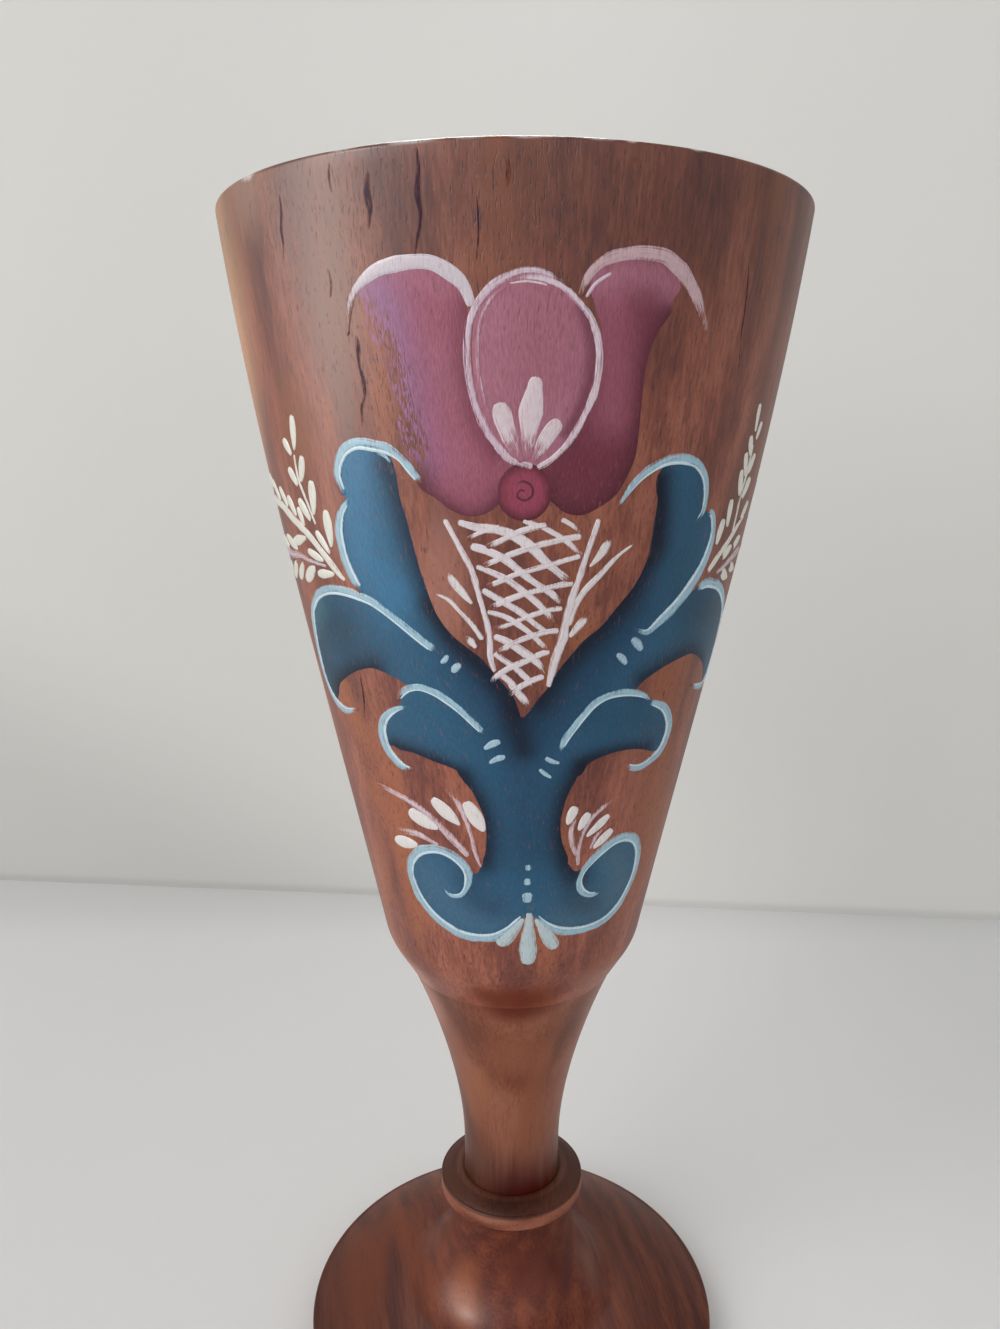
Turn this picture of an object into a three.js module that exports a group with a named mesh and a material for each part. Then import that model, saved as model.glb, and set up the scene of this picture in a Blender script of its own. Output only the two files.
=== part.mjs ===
// A turned wooden vase in the shape of a tall goblet: a flared bowl on a waisted stem, a thin ring where
// the stem goes into the foot, and a broad, low foot. Each piece is turned on a lathe by itself. The stem
// has a round tenon at each end: the upper one is glued into a socket under the bowl, and the lower one
// goes through the ring into a mortise in the foot. Millimetres, Z up, standing on z = 0 round the Z axis.
import * as THREE from "three";

const LATHE_FLATS = 64; // flats round each turned piece
const CURVE_STEPS = 6; // straight steps in each curved stretch of an outline

// Joints
const TENON_CLEARANCE = 0.15; // glue space round a tenon
const TENON_END_GAP = 0.6; // glue space past a tenon's end
const TENON_CHAMFER = 0.8;
const UPPER_TENON_RADIUS = 7;
const UPPER_TENON_LENGTH = 14;
const LOWER_TENON_STEP = 2.2; // how far the lower tenon steps in from the stem's waist

// Foot
const FOOT_HEIGHT = 29.6; // from the table to the seat of the ring
const FOOT_RADIUS = 38.1;
const FOOT_EDGE_HEIGHT = 5; // the upright edge
const FOOT_EDGE_ROUND = 0.7;
const DOME_RISE = 5.2; // from the edge to where the neck's cove starts
const DOME_SWELL = 1; // how far the low dome bows above a straight slope
const COVE_REACH = 9; // how far the cove spreads out from the neck
const MORTISE_FLOOR = 9; // from the table to the floor of the mortise
const STANDING_RIM_WIDTH = 8; // the ring that the foot stands on
const HOLLOW_DEPTH = 1.2; // the shallow hollow inside the standing ring

// Ring
const RING_THICKNESS = 2.8; // at its outer edge
const RING_EDGE_ROUND = 0.5;
const RING_REACH = 3.2; // from the lip out to the edge
const RING_LIP_RISE = 1.1; // its top climbs from the edge to a lip round the stem
const RING_TOP_PULL = 0.88; // how far above the edge the curve of its top is pulled
const RING_LIP_WIDTH = 0.5;
const RING_GROOVE_WIDTH = 0.6; // the open groove between the lip and the stem
const RING_LEDGE_HEIGHT = 2.2; // from the ring's seat to the ledge that carries the stem
const NECK_INSET = 2.2; // how far the foot's neck stays inside the ring's edge

// Stem
const STEM_LENGTH = 44.2; // from the ring's ledge to the bowl
const WAIST_RADIUS = 8.8;
const WAIST_LENGTH = 7.4; // the straight stretch above the ring
const WAIST_CHAMFER = 0.5;
const WAIST_PULL = 12.8; // how far up the flare stays close to the waist
const STEM_TOP_RADIUS = 17.9;
const STEM_TOP_PULL = 9.5; // how far down the flare keeps its slope under the bowl
const STEM_TOP_SLOPE = 0.44; // radius lost for each millimetre down, just under the bowl

// Bowl
const BOWL_HEIGHT = 124; // from the stem to the rim
const RIM_RADIUS = 45;
const RIM_ROUND = 1;
const RIM_WALL = 4.6;
const SHOULDER_REACH = 4.5; // how far the shoulder spreads out from the stem's top
const SHOULDER_HEIGHT = 8.5; // from the stem to where the side starts
const SHOULDER_TURN = 3.3; // how far below the side's start the underside turns up into it
const SHOULDER_EASE = 0.7; // how far inside the shoulder that turn lies
const SIDE_LOWER_BELLY = 0.6; // how far the side bows out a third of the way up
const SIDE_UPPER_BELLY = 2.7; // and two thirds of the way up
const BOWL_FLOOR_THICKNESS = 6.4; // between the socket and the inside
const BOWL_FLOOR_INSET = 3; // how far the inside's lowest corner lies in from the shoulder
const BOWL_FLOOR_ROUND = 6;

// What follows from these sizes
const waistSocketRadius = WAIST_RADIUS + TENON_CLEARANCE;
const lipInnerRadius = waistSocketRadius + RING_GROOVE_WIDTH;
const lipOuterRadius = lipInnerRadius + RING_LIP_WIDTH;
const ringRadius = lipOuterRadius + RING_REACH;
const lowerTenonRadius = WAIST_RADIUS - LOWER_TENON_STEP;
const lowerBoreRadius = lowerTenonRadius + TENON_CLEARANCE;
const ringSeat = FOOT_HEIGHT;
const ringLedge = ringSeat + RING_LEDGE_HEIGHT;
const bowlSeat = ringLedge + STEM_LENGTH;
const upperTenonTop = bowlSeat + UPPER_TENON_LENGTH;
const rimTop = bowlSeat + BOWL_HEIGHT;

const footWood = new THREE.MeshStandardMaterial({ color: 0x7a4836, roughness: 0.35, metalness: 0 });
const ringWood = new THREE.MeshStandardMaterial({ color: 0x57352e, roughness: 0.45, metalness: 0 });
const stemWood = new THREE.MeshStandardMaterial({ color: 0x8a543f, roughness: 0.4, metalness: 0 });
const bowlWood = new THREE.MeshStandardMaterial({ color: 0x9a6650, roughness: 0.42, metalness: 0 });

// A turned piece: an outline of radius and height, drawn counter-clockwise, spun round the Z axis.
function turned(name, outline, material) {
  const geometry = new THREE.LatheGeometry(outline.getPoints(CURVE_STEPS), LATHE_FLATS);
  geometry.rotateX(Math.PI / 2);
  const mesh = new THREE.Mesh(geometry, material);
  mesh.name = name;
  return mesh;
}

// A rounded lower edge at (x, y): the outline comes outwards along the bottom and turns up.
function roundLowerEdge(outline, x, y, radius) {
  outline.lineTo(x - radius, y);
  outline.quadraticCurveTo(x, y, x, y + radius);
}

// A rounded upper edge at (x, y): the outline comes up and turns inwards over the top.
function roundUpperEdge(outline, x, y, radius) {
  outline.lineTo(x, y - radius);
  outline.quadraticCurveTo(x, y, x - radius, y);
}

// The low foot: a hollow underneath, an upright edge, a flat dome, a cove up to the neck, and the mortise.
function makeFoot() {
  const hollowRadius = FOOT_RADIUS - STANDING_RIM_WIDTH;
  const neckRadius = ringRadius - NECK_INSET;
  const coveRadius = neckRadius + COVE_REACH;
  const coveHeight = FOOT_EDGE_HEIGHT + DOME_RISE;
  const domeEdgeRadius = FOOT_RADIUS - FOOT_EDGE_ROUND;
  const domeSlope = DOME_RISE / (domeEdgeRadius - coveRadius);
  const outline = new THREE.Path();
  outline.moveTo(0, HOLLOW_DEPTH);
  outline.lineTo(hollowRadius - HOLLOW_DEPTH, HOLLOW_DEPTH);
  outline.lineTo(hollowRadius, 0);
  roundLowerEdge(outline, FOOT_RADIUS, 0, FOOT_EDGE_ROUND);
  roundUpperEdge(outline, FOOT_RADIUS, FOOT_EDGE_HEIGHT, FOOT_EDGE_ROUND);
  outline.quadraticCurveTo(
    (domeEdgeRadius + coveRadius) / 2,
    FOOT_EDGE_HEIGHT + DOME_RISE / 2 + 2 * DOME_SWELL,
    coveRadius,
    coveHeight,
  );
  outline.quadraticCurveTo(neckRadius, coveHeight + domeSlope * COVE_REACH, neckRadius, ringSeat);
  outline.lineTo(lowerBoreRadius, ringSeat);
  outline.lineTo(lowerBoreRadius, MORTISE_FLOOR);
  outline.lineTo(0, MORTISE_FLOOR);
  return turned("foot", outline, footWood);
}

// The ring round the stem: a thin edge, a top that climbs to a lip, an open groove, and the stem's ledge.
function makeRing() {
  const edgeTop = ringSeat + RING_THICKNESS;
  const lipTop = edgeTop + RING_LIP_RISE;
  const outline = new THREE.Path();
  outline.moveTo(lowerBoreRadius, ringLedge);
  outline.lineTo(lowerBoreRadius, ringSeat);
  roundLowerEdge(outline, ringRadius, ringSeat, RING_EDGE_ROUND);
  roundUpperEdge(outline, ringRadius, edgeTop, RING_EDGE_ROUND);
  outline.quadraticCurveTo(
    (ringRadius + lipOuterRadius) / 2,
    edgeTop + RING_TOP_PULL,
    lipOuterRadius,
    lipTop,
  );
  outline.lineTo(lipInnerRadius, lipTop);
  outline.lineTo(waistSocketRadius, ringLedge);
  outline.lineTo(lowerBoreRadius, ringLedge);
  return turned("stem_ring", outline, ringWood);
}

// The stem: the lower tenon, an upright waist, the flare up to the bowl, and the upper tenon.
function makeStem() {
  const lowerTenonEnd = MORTISE_FLOOR + TENON_END_GAP;
  const waistTop = ringLedge + WAIST_LENGTH;
  const outline = new THREE.Path();
  outline.moveTo(0, lowerTenonEnd);
  outline.lineTo(lowerTenonRadius - TENON_CHAMFER, lowerTenonEnd);
  outline.lineTo(lowerTenonRadius, lowerTenonEnd + TENON_CHAMFER);
  outline.lineTo(lowerTenonRadius, ringLedge);
  outline.lineTo(WAIST_RADIUS - WAIST_CHAMFER, ringLedge);
  outline.lineTo(WAIST_RADIUS, ringLedge + WAIST_CHAMFER);
  outline.lineTo(WAIST_RADIUS, waistTop);
  outline.bezierCurveTo(
    WAIST_RADIUS,
    waistTop + WAIST_PULL,
    STEM_TOP_RADIUS - STEM_TOP_SLOPE * STEM_TOP_PULL,
    bowlSeat - STEM_TOP_PULL,
    STEM_TOP_RADIUS,
    bowlSeat,
  );
  outline.lineTo(UPPER_TENON_RADIUS, bowlSeat);
  outline.lineTo(UPPER_TENON_RADIUS, upperTenonTop - TENON_CHAMFER);
  outline.lineTo(UPPER_TENON_RADIUS - TENON_CHAMFER, upperTenonTop);
  outline.lineTo(0, upperTenonTop);
  return turned("stem", outline, stemWood);
}

// The side of the bowl, outside or inside: a curve between two points that bows out by the two bellies.
function sideCurve(outline, fromRadius, fromHeight, toRadius, toHeight, firstBelly, secondBelly) {
  outline.bezierCurveTo(
    fromRadius + (toRadius - fromRadius) / 3 + firstBelly,
    fromHeight + (toHeight - fromHeight) / 3,
    fromRadius + ((toRadius - fromRadius) * 2) / 3 + secondBelly,
    fromHeight + ((toHeight - fromHeight) * 2) / 3,
    toRadius,
    toHeight,
  );
}

// The bowl: the socket for the stem, the shoulder, the bowed side, the rim, and the inside to its floor.
function makeBowl() {
  const socketRadius = UPPER_TENON_RADIUS + TENON_CLEARANCE;
  const socketTop = upperTenonTop + TENON_END_GAP;
  const shoulderRadius = STEM_TOP_RADIUS + SHOULDER_REACH;
  const shoulderHeight = bowlSeat + SHOULDER_HEIGHT;
  const rimEdge = rimTop - RIM_ROUND;
  const mouthRadius = RIM_RADIUS - RIM_WALL;
  const insideFloor = socketTop + BOWL_FLOOR_THICKNESS;
  const floorRadius = shoulderRadius - BOWL_FLOOR_INSET;
  const outline = new THREE.Path();
  outline.moveTo(0, socketTop);
  outline.lineTo(socketRadius, socketTop);
  outline.lineTo(socketRadius, bowlSeat);
  outline.lineTo(STEM_TOP_RADIUS, bowlSeat);
  outline.quadraticCurveTo(
    shoulderRadius - SHOULDER_EASE,
    shoulderHeight - SHOULDER_TURN,
    shoulderRadius,
    shoulderHeight,
  );
  sideCurve(
    outline,
    shoulderRadius,
    shoulderHeight,
    RIM_RADIUS,
    rimEdge,
    SIDE_LOWER_BELLY,
    SIDE_UPPER_BELLY,
  );
  roundUpperEdge(outline, RIM_RADIUS, rimTop, RIM_ROUND);
  outline.lineTo(mouthRadius + RIM_ROUND, rimTop);
  outline.quadraticCurveTo(mouthRadius, rimTop, mouthRadius, rimEdge);
  sideCurve(
    outline,
    mouthRadius,
    rimEdge,
    floorRadius,
    insideFloor + BOWL_FLOOR_ROUND,
    SIDE_UPPER_BELLY,
    SIDE_LOWER_BELLY,
  );
  outline.quadraticCurveTo(floorRadius, insideFloor, floorRadius - BOWL_FLOOR_ROUND, insideFloor);
  outline.lineTo(0, insideFloor);
  return turned("bowl", outline, bowlWood);
}

const vase = new THREE.Group();
vase.add(makeFoot(), makeRing(), makeStem(), makeBowl());

export default vase;
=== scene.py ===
"""A turned wooden vase in the shape of a tall goblet, dressed for rendering.

Four turned pieces, the foot, the ring, the stem and the bowl, take the place of the plain packed ones
with finer curves and real wood. On the bowl lies a hand-painted ornament: a tulip over a lattice cone,
blue scrolling leaves, and white ferns and sprigs. Every pull of the brush is a thin film of paint that
is wrapped round the bowl. Sizes are in millimetres and turn into metres where a mesh is made.
"""

import logging
from collections.abc import Iterable, Sequence
from dataclasses import dataclass, field
from enum import Enum
from math import pi, radians

import bpy
import numpy as np
from numpy.typing import NDArray
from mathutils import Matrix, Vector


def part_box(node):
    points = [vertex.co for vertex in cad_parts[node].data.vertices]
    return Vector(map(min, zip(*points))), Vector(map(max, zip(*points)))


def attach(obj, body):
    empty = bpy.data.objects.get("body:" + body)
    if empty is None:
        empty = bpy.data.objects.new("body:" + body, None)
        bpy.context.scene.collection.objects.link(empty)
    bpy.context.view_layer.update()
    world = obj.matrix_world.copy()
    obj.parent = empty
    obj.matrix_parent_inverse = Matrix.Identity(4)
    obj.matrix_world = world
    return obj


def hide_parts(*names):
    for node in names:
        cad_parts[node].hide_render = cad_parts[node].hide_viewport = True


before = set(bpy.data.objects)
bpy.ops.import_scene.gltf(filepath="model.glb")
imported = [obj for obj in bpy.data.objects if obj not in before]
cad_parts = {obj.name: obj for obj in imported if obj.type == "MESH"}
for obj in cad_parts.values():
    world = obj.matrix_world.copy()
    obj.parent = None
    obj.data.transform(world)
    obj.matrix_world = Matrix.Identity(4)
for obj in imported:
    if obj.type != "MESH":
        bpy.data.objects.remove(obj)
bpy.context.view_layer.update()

Array = NDArray[np.float64]
Paint = tuple[int, int, int]
Range = tuple[float, float]
Spot = tuple[float, float]
Edges = tuple[tuple[Spot, ...], tuple[Spot, ...]]
Triple = tuple[float, float, float]
Pull = tuple[Triple, ...]
Socket = bpy.types.NodeSocket
Piece = bpy.types.Object

MM = 0.001
LATHE_FLATS = 256  # flats round each turned piece
CURVE_STEPS = 24  # straight steps in a curve of an outline
ROUND_STEPS = 8  # and in a small rounding of one
LIP_STEPS = 6  # and over the ring's lip
RIM_STEPS = 10  # and in each rounding of the bowl's rim
WALK_STEPS = 12  # straight steps between two points of a smooth line
SHARP_EDGE = radians(32)  # an edge that turns further than this stays crisp

# The sRGB curve, from screen values to linear light: straight up to a knee, and then a power
FULL_VALUE = 255
SRGB_KNEE = 0.04045
SRGB_SLOPE = 12.92
SRGB_OFFSET = 0.055
SRGB_POWER = 2.4

log = logging.getLogger("vase")


# Curves and meshes


def linear(paint: Paint) -> Triple:
    """Turns a paint's three 8-bit screen values into linear light.

    Args:
        paint: Red, green and blue from 0 to 255.

    Returns:
        Linear red, green and blue from 0 to 1.
    """
    share = np.array(paint) / FULL_VALUE
    low = share / SRGB_SLOPE
    high = ((share + SRGB_OFFSET) / (1 + SRGB_OFFSET)) ** SRGB_POWER
    red, green, blue = np.where(share <= SRGB_KNEE, low, high)
    return float(red), float(green), float(blue)


def smooth_line(points: Array, count: int) -> Array:
    """Draws an even curve through points: a Catmull-Rom curve, walked at equal steps of its length.

    Between two points the curve is the cubic whose slope at each of them is half the step between
    that point's neighbours.

    Args:
        points: Rows whose first two columns are a place; further columns ride along.
        count: How many rows come back.

    Returns:
        The curve's rows, with the same columns.
    """
    last = len(points) - 1
    run = np.linspace(0, last, last * WALK_STEPS + 1)
    start = np.minimum(run.astype(int), last - 1)
    t = (run - start)[:, None]
    before = points[np.maximum(start - 1, 0)]
    here = points[start]
    there = points[start + 1]
    after = points[np.minimum(start + 2, last)]
    curve = 0.5 * (
        2 * here
        + (there - before) * t
        + (2 * before - 5 * here + 4 * there - after) * t**2
        + (3 * here - before - 3 * there + after) * t**3
    )
    steps = np.hypot(*np.diff(curve[:, :2], axis=0).T)
    travelled = np.concatenate([[0], np.cumsum(steps)])
    wanted = np.linspace(0, travelled[-1], count)
    return np.stack([np.interp(wanted, travelled, column) for column in curve.T], axis=1)


class Outline:
    """Half the section of a turned piece: radius and height, drawn counter-clockwise from axis to axis."""

    def __init__(self, radius: float, height: float) -> None:
        """Starts the outline at one point."""
        self.runs: list[Array] = [np.array([[radius, height]])]

    @property
    def end(self) -> Array:
        """The last point so far."""
        return self.runs[-1][-1]

    def line(self, radius: float, height: float, steps: int = 1) -> "Outline":
        """Adds a straight run.

        Args:
            radius: Radius of the new point.
            height: Height of the new point.
            steps: Equal steps in the run.

        Returns:
            This outline.
        """
        t = np.linspace(0, 1, steps + 1)[1:, None]
        self.runs.append(self.end * (1 - t) + np.array([radius, height]) * t)
        return self

    def bend(self, pull: Spot, to: Spot, steps: int = CURVE_STEPS) -> "Outline":
        """Adds a quadratic curve: each point is pulled towards one control point.

        Args:
            pull: The control point.
            to: The curve's end.
            steps: Steps in the curve.

        Returns:
            This outline.
        """
        t = np.linspace(0, 1, steps + 1)[1:, None]
        curve = (1 - t) ** 2 * self.end + 2 * t * (1 - t) * np.array(pull) + t**2 * np.array(to)
        self.runs.append(curve)
        return self

    def sweep(self, first: Spot, second: Spot, to: Spot, steps: int = 3 * CURVE_STEPS) -> "Outline":
        """Adds a cubic curve with two control points.

        Args:
            first: The control point near the start.
            second: The control point near the end.
            to: The curve's end.
            steps: Steps in the curve.

        Returns:
            This outline.
        """
        t = np.linspace(0, 1, steps + 1)[1:, None]
        start = (1 - t) ** 3 * self.end + 3 * t * (1 - t) ** 2 * np.array(first)
        finish = 3 * t**2 * (1 - t) * np.array(second) + t**3 * np.array(to)
        self.runs.append(start + finish)
        return self

    def points(self) -> Array:
        """All points, as rows of radius and height."""
        return np.concatenate(self.runs)


@dataclass
class Shell:
    """A closed skin of rings between two poles, with the notes that its paint needs at every vertex."""

    poles: Array
    rings: Array
    notes: dict[str, tuple[Array, Array]] = field(default_factory=dict)

    def vertices(self) -> Array:
        """Every vertex: the first pole, ring after ring, the last pole."""
        return np.concatenate([self.poles[:1], self.rings.reshape(-1, 3), self.poles[1:]])

    def note(self, name: str) -> Array:
        """One note in the order of the vertices.

        Args:
            name: The note's name.

        Returns:
            Rows of values, one for each vertex.
        """
        ends, body = self.notes[name]
        return np.concatenate([ends[:1], body.reshape(-1, body.shape[-1]), ends[1:]])

    def faces(self) -> list[list[int]]:
        """Four-sided faces between neighbouring rings, and a fan of triangles at each pole."""
        count, around = self.rings.shape[:2]
        place = 1 + np.arange(count * around).reshape(count, around)
        turned = np.roll(place, -1, axis=1)
        sides = np.stack([place[:-1], turned[:-1], turned[1:], place[1:]], axis=-1)
        first = np.stack([np.zeros(around, int), turned[0], place[0]], axis=-1)
        final = np.full(around, 1 + count * around)
        last = np.stack([place[-1], turned[-1], final], axis=-1)
        return sides.reshape(-1, 4).tolist() + first.tolist() + last.tolist()


def make_piece(name: str, shells: Sequence[Shell], finish: bpy.types.Material) -> Piece:
    """Joins shells into one smooth-shaded object at the origin.

    Args:
        name: The object's name.
        shells: Skins in millimetres. All of them carry the same notes.
        finish: The material.

    Returns:
        The new object, linked into the scene.
    """
    vertices = np.concatenate([shell.vertices() for shell in shells]) * MM
    faces: list[list[int]] = []
    used = 0
    for shell in shells:
        faces.extend([[corner + used for corner in face] for face in shell.faces()])
        used += 2 + shell.rings.shape[0] * shell.rings.shape[1]
    mesh = bpy.data.meshes.new(name)
    mesh.from_pydata(vertices.tolist(), [], faces)
    for note in shells[0].notes:
        values = np.concatenate([shell.note(note) for shell in shells])
        if values.shape[1] == 4:
            mesh.attributes.new(note, "FLOAT_COLOR", "POINT").data.foreach_set("color", values.ravel())
        else:
            mesh.attributes.new(note, "FLOAT_VECTOR", "POINT").data.foreach_set("vector", values.ravel())
    mesh.shade_smooth()
    mesh.set_sharp_from_angle(angle=SHARP_EDGE)
    mesh.materials.append(finish)
    mesh.update()
    piece = bpy.data.objects.new(name, mesh)
    bpy.context.scene.collection.objects.link(piece)
    return piece


def spin(outline: Array) -> Shell:
    """Turns an outline on the lathe: a point is (radius cos turn, radius sin turn, height).

    Args:
        outline: Rows of radius and height, with the first and last row on the axis.

    Returns:
        The turned skin.
    """
    turn = np.linspace(0, 2 * pi, LATHE_FLATS, endpoint=False)
    radius = outline[1:-1, :1]
    height = np.repeat(outline[1:-1, 1:], LATHE_FLATS, axis=1)
    rings = np.stack([radius * np.cos(turn), radius * np.sin(turn), height], axis=-1)
    poles = np.column_stack([[0, 0], [0, 0], outline[[0, -1], 1]])
    return Shell(poles, rings)


# Finishes

MIX_INPUTS = (0, 6, 7)  # the colour mixer's sockets: how much, the lower colour, the upper colour
MIX_OUTPUT = 2
VARNISH_ROUGHNESS = 0.3
WOOD_RELIEF = 0.07  # the depth of fibres and pores, in millimetres
ZONE_CORE = 0.2  # the share of a zone's reach that has its full tone
WAVES_PER_UNIT = 6.5  # ring bands that the wave texture makes at a scale of 1
BAND_WAVER = {"Distortion": 5.0, "Detail": 3.0, "Detail Scale": 0.7, "Detail Roughness": 0.6}

# Where the wood's noises start and end to show
TONE_RANGE: Range = (0.28, 0.72)
GLOW_RANGE: Range = (0.52, 0.7)
CROWD_RANGE: Range = (0.36, 0.62)
CROWD_SHIFT: Range = (-0.06, 0.03)
PORE_RANGE: Range = (0.6, 0.69)
THREAD_RANGE: Range = (0.66, 0.72)
BREAK_RANGE: Range = (0.42, 0.52)
WOOD_ROUGHNESS: Range = (0.36, 0.54)
FIBRE_HEIGHT: Range = (0.7, 1.0)
PORE_DEPTH = 0.4

# And the paint's
SHOWN_PORE_RANGE: Range = (0.6, 0.72)
CATCH_RANGE: Range = (0.36, 0.64)
PAINT_ROUGHNESS: Range = (0.36, 0.52)
BLOT_SIZE: Triple = (2.4, 1.1, 1.0)
BLOT_SHARE = 0.25
BARE_LIMIT = 0.62
BARE_REACH = 0.3
CATCH_SHARE = 0.3
GROWN_HEIGHT = 0.6
FILM_HEIGHT = 0.2


class Recipe:
    """One material's node tree, put together a step at a time."""

    def __init__(self, name: str) -> None:
        """Starts a material with an empty tree."""
        self.material = bpy.data.materials.new(name)
        self.material.use_nodes = True
        self.tree = self.material.node_tree
        self.tree.nodes.clear()

    def node(self, kind: str, inputs: dict[str | int, object], **settings: object) -> bpy.types.Node:
        """Adds a node, sets its options and links or fills its inputs.

        Args:
            kind: The node's Blender type.
            inputs: Sockets or plain values for the inputs, by name or number.
            **settings: The node's own options.

        Returns:
            The node.
        """
        made = self.tree.nodes.new(kind)
        for option, value in settings.items():
            setattr(made, option, value)
        self.fill(made, inputs)
        return made

    def fill(self, made: bpy.types.Node, inputs: dict[str | int, object]) -> None:
        """Links or sets a node's inputs.

        Args:
            made: The node.
            inputs: Sockets or plain values, by name or number.
        """
        for key, value in inputs.items():
            if isinstance(value, Socket):
                self.tree.links.new(value, made.inputs[key])
            else:
                made.inputs[key].default_value = value

    def place(self) -> Socket:
        """The point on the piece, in metres."""
        return self.node("ShaderNodeTexCoord", {}).outputs["Object"]

    def note(self, name: str, output: str) -> Socket:
        """A note that the mesh carries at each vertex."""
        return self.node("ShaderNodeAttribute", {}, attribute_name=name).outputs[output]

    def figure(self, operation: str, *values: object, held: bool = True) -> Socket:
        """One step of arithmetic, held between 0 and 1 unless it says otherwise."""
        inputs = dict(enumerate(values))
        return self.node("ShaderNodeMath", inputs, operation=operation, use_clamp=held).outputs[0]

    def noise(
        self,
        where: Socket,
        size: Triple,
        detail: float = 2.0,
        roughness: float = 0.5,
        distortion: float = 0.0,
        shift: Triple = (0.0, 0.0, 0.0),
    ) -> Socket:
        """Noise whose blots are about as large as said.

        Args:
            where: The point that the noise reads.
            size: The size of a blot along each axis, in the point's own unit.
            detail: How many finer layers are added.
            roughness: How strong the finer layers are.
            distortion: How far the blots are pulled about.
            shift: An offset that gives another stretch of the same noise.

        Returns:
            A value about 0.5.
        """
        scale = tuple(1 / length for length in size)
        stretched = self.node("ShaderNodeMapping", {"Vector": where, "Scale": scale, "Location": shift})
        inputs = {
            "Vector": stretched.outputs[0],
            "Scale": 1.0,
            "Detail": detail,
            "Roughness": roughness,
            "Distortion": distortion,
        }
        return self.node("ShaderNodeTexNoise", inputs).outputs[0]

    def between(self, value: Socket, low: float, high: float) -> Socket:
        """A soft step from 0 at low to 1 at high."""
        inputs = {"Value": value, "From Min": low, "From Max": high}
        return self.node("ShaderNodeMapRange", inputs, interpolation_type="SMOOTHSTEP").outputs[0]

    def spread(self, value: Socket, low: float, high: float) -> Socket:
        """The value from 0 to 1, spread evenly from low to high."""
        inputs = {"Value": value, "To Min": low, "To Max": high}
        return self.node("ShaderNodeMapRange", inputs).outputs[0]

    def tones(self, value: Socket, paints: Sequence[Paint]) -> Socket:
        """Paints from a scale of tones.

        Args:
            value: The place on the scale.
            paints: The paints, in equal steps along the scale.

        Returns:
            The colour.
        """
        ramp = self.node("ShaderNodeValToRGB", {"Fac": value})
        scale = ramp.color_ramp.elements
        while len(scale) < len(paints):
            scale.new(0.5)
        for place, (element, paint) in enumerate(zip(scale, paints, strict=True)):
            element.position = place / (len(paints) - 1)
            element.color = (*linear(paint), 1.0)
        return ramp.outputs[0]

    def mix(self, amount: object, under: object, over: object, blend: str = "MIX") -> Socket:
        """Lays one colour over another.

        Args:
            amount: How much of the upper colour shows.
            under: The lower colour.
            over: The upper colour.
            blend: Blender's name for the way they mix.

        Returns:
            The colour.
        """
        made = self.node("ShaderNodeMix", {}, data_type="RGBA", blend_type=blend)
        self.fill(made, dict(zip(MIX_INPUTS, (amount, under, over), strict=True)))
        return made.outputs[MIX_OUTPUT]

    def veil(self, amount: object, under: Socket, paint: Paint) -> Socket:
        """Lays one plain paint over a colour."""
        return self.mix(amount, under, (*linear(paint), 1.0))

    def relief(self, height: Socket, depth: float) -> Socket:
        """A normal that follows fine relief.

        Args:
            height: Height from 0 to 1.
            depth: What a height of 1 stands for, in millimetres.

        Returns:
            The normal.
        """
        inputs = {"Height": height, "Distance": depth * MM, "Strength": 1.0}
        return self.node("ShaderNodeBump", inputs).outputs[0]

    def varnished(
        self, colour: Socket, roughness: Socket, normal: Socket, gloss: float, coat: float
    ) -> bpy.types.Material:
        """Ends the tree in a surface under satin varnish.

        Args:
            colour: The colour.
            roughness: The roughness under the varnish.
            normal: The normal.
            gloss: How strongly the surface itself mirrors.
            coat: How much varnish lies on it, from 0 to 1.

        Returns:
            The finished material.
        """
        inputs = {
            "Base Color": colour,
            "Roughness": roughness,
            "Normal": normal,
            "Specular IOR Level": gloss,
            "Coat Weight": coat,
            "Coat Roughness": VARNISH_ROUGHNESS,
        }
        surface = self.node("ShaderNodeBsdfPrincipled", inputs)
        self.node("ShaderNodeOutputMaterial", {"Surface": surface.outputs[0]})
        return self.material


class Grain(Enum):
    """Which way the fibres run, as the length of a fibre's blot along each axis next to its width."""

    LONG = (1.0, 1.0, 34.0)
    FACE = (1.0, 34.0, 1.0)

    def blot(self, width: float, stretch: float = 1.0) -> Triple:
        """A blot of some width in metres, drawn out along the fibres.

        Args:
            width: The width across the fibres, in millimetres.
            stretch: A factor on how far it is drawn out.

        Returns:
            The size along each axis.
        """
        across, deep, up = (width * MM * (1 + (reach - 1) * stretch) for reach in self.value)
        return across, deep, up


@dataclass(frozen=True)
class Blots:
    """One noise in the wood: its blots' width in millimetres, their stretch, and its finer layers."""

    width: float
    stretch: float
    detail: float
    roughness: float = 0.5
    distortion: float = 0.0

    def over(self, recipe: Recipe, where: Socket, grain: Grain, shift: Triple = (0.0, 0.0, 0.0)) -> Socket:
        """Spreads the noise along a grain.

        Args:
            recipe: The node tree to build in.
            where: The point in the wood, in metres.
            grain: The way of the fibres.
            shift: An offset that gives another stretch of the same noise.

        Returns:
            A value about 0.5.
        """
        size = grain.blot(self.width, self.stretch)
        return recipe.noise(where, size, self.detail, self.roughness, self.distortion, shift)


FIBRES = Blots(0.5, 0.8, 4.0, 0.65, 0.2)
STREAKS = Blots(2.6, 0.6, 3.0, 0.55, 0.3)
CLOUDS = Blots(13.0, 0.14, 2.0, 0.5, 0.4)
DASHES = Blots(0.24, 0.22, 1.0)
THREADS = Blots(0.5, 1.1, 1.0, 0.5, 0.2)
SHOWN_PORES = Blots(0.3, 0.2, 2.0)
CATCHES = Blots(0.22, 0.22, 1.0)


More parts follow.
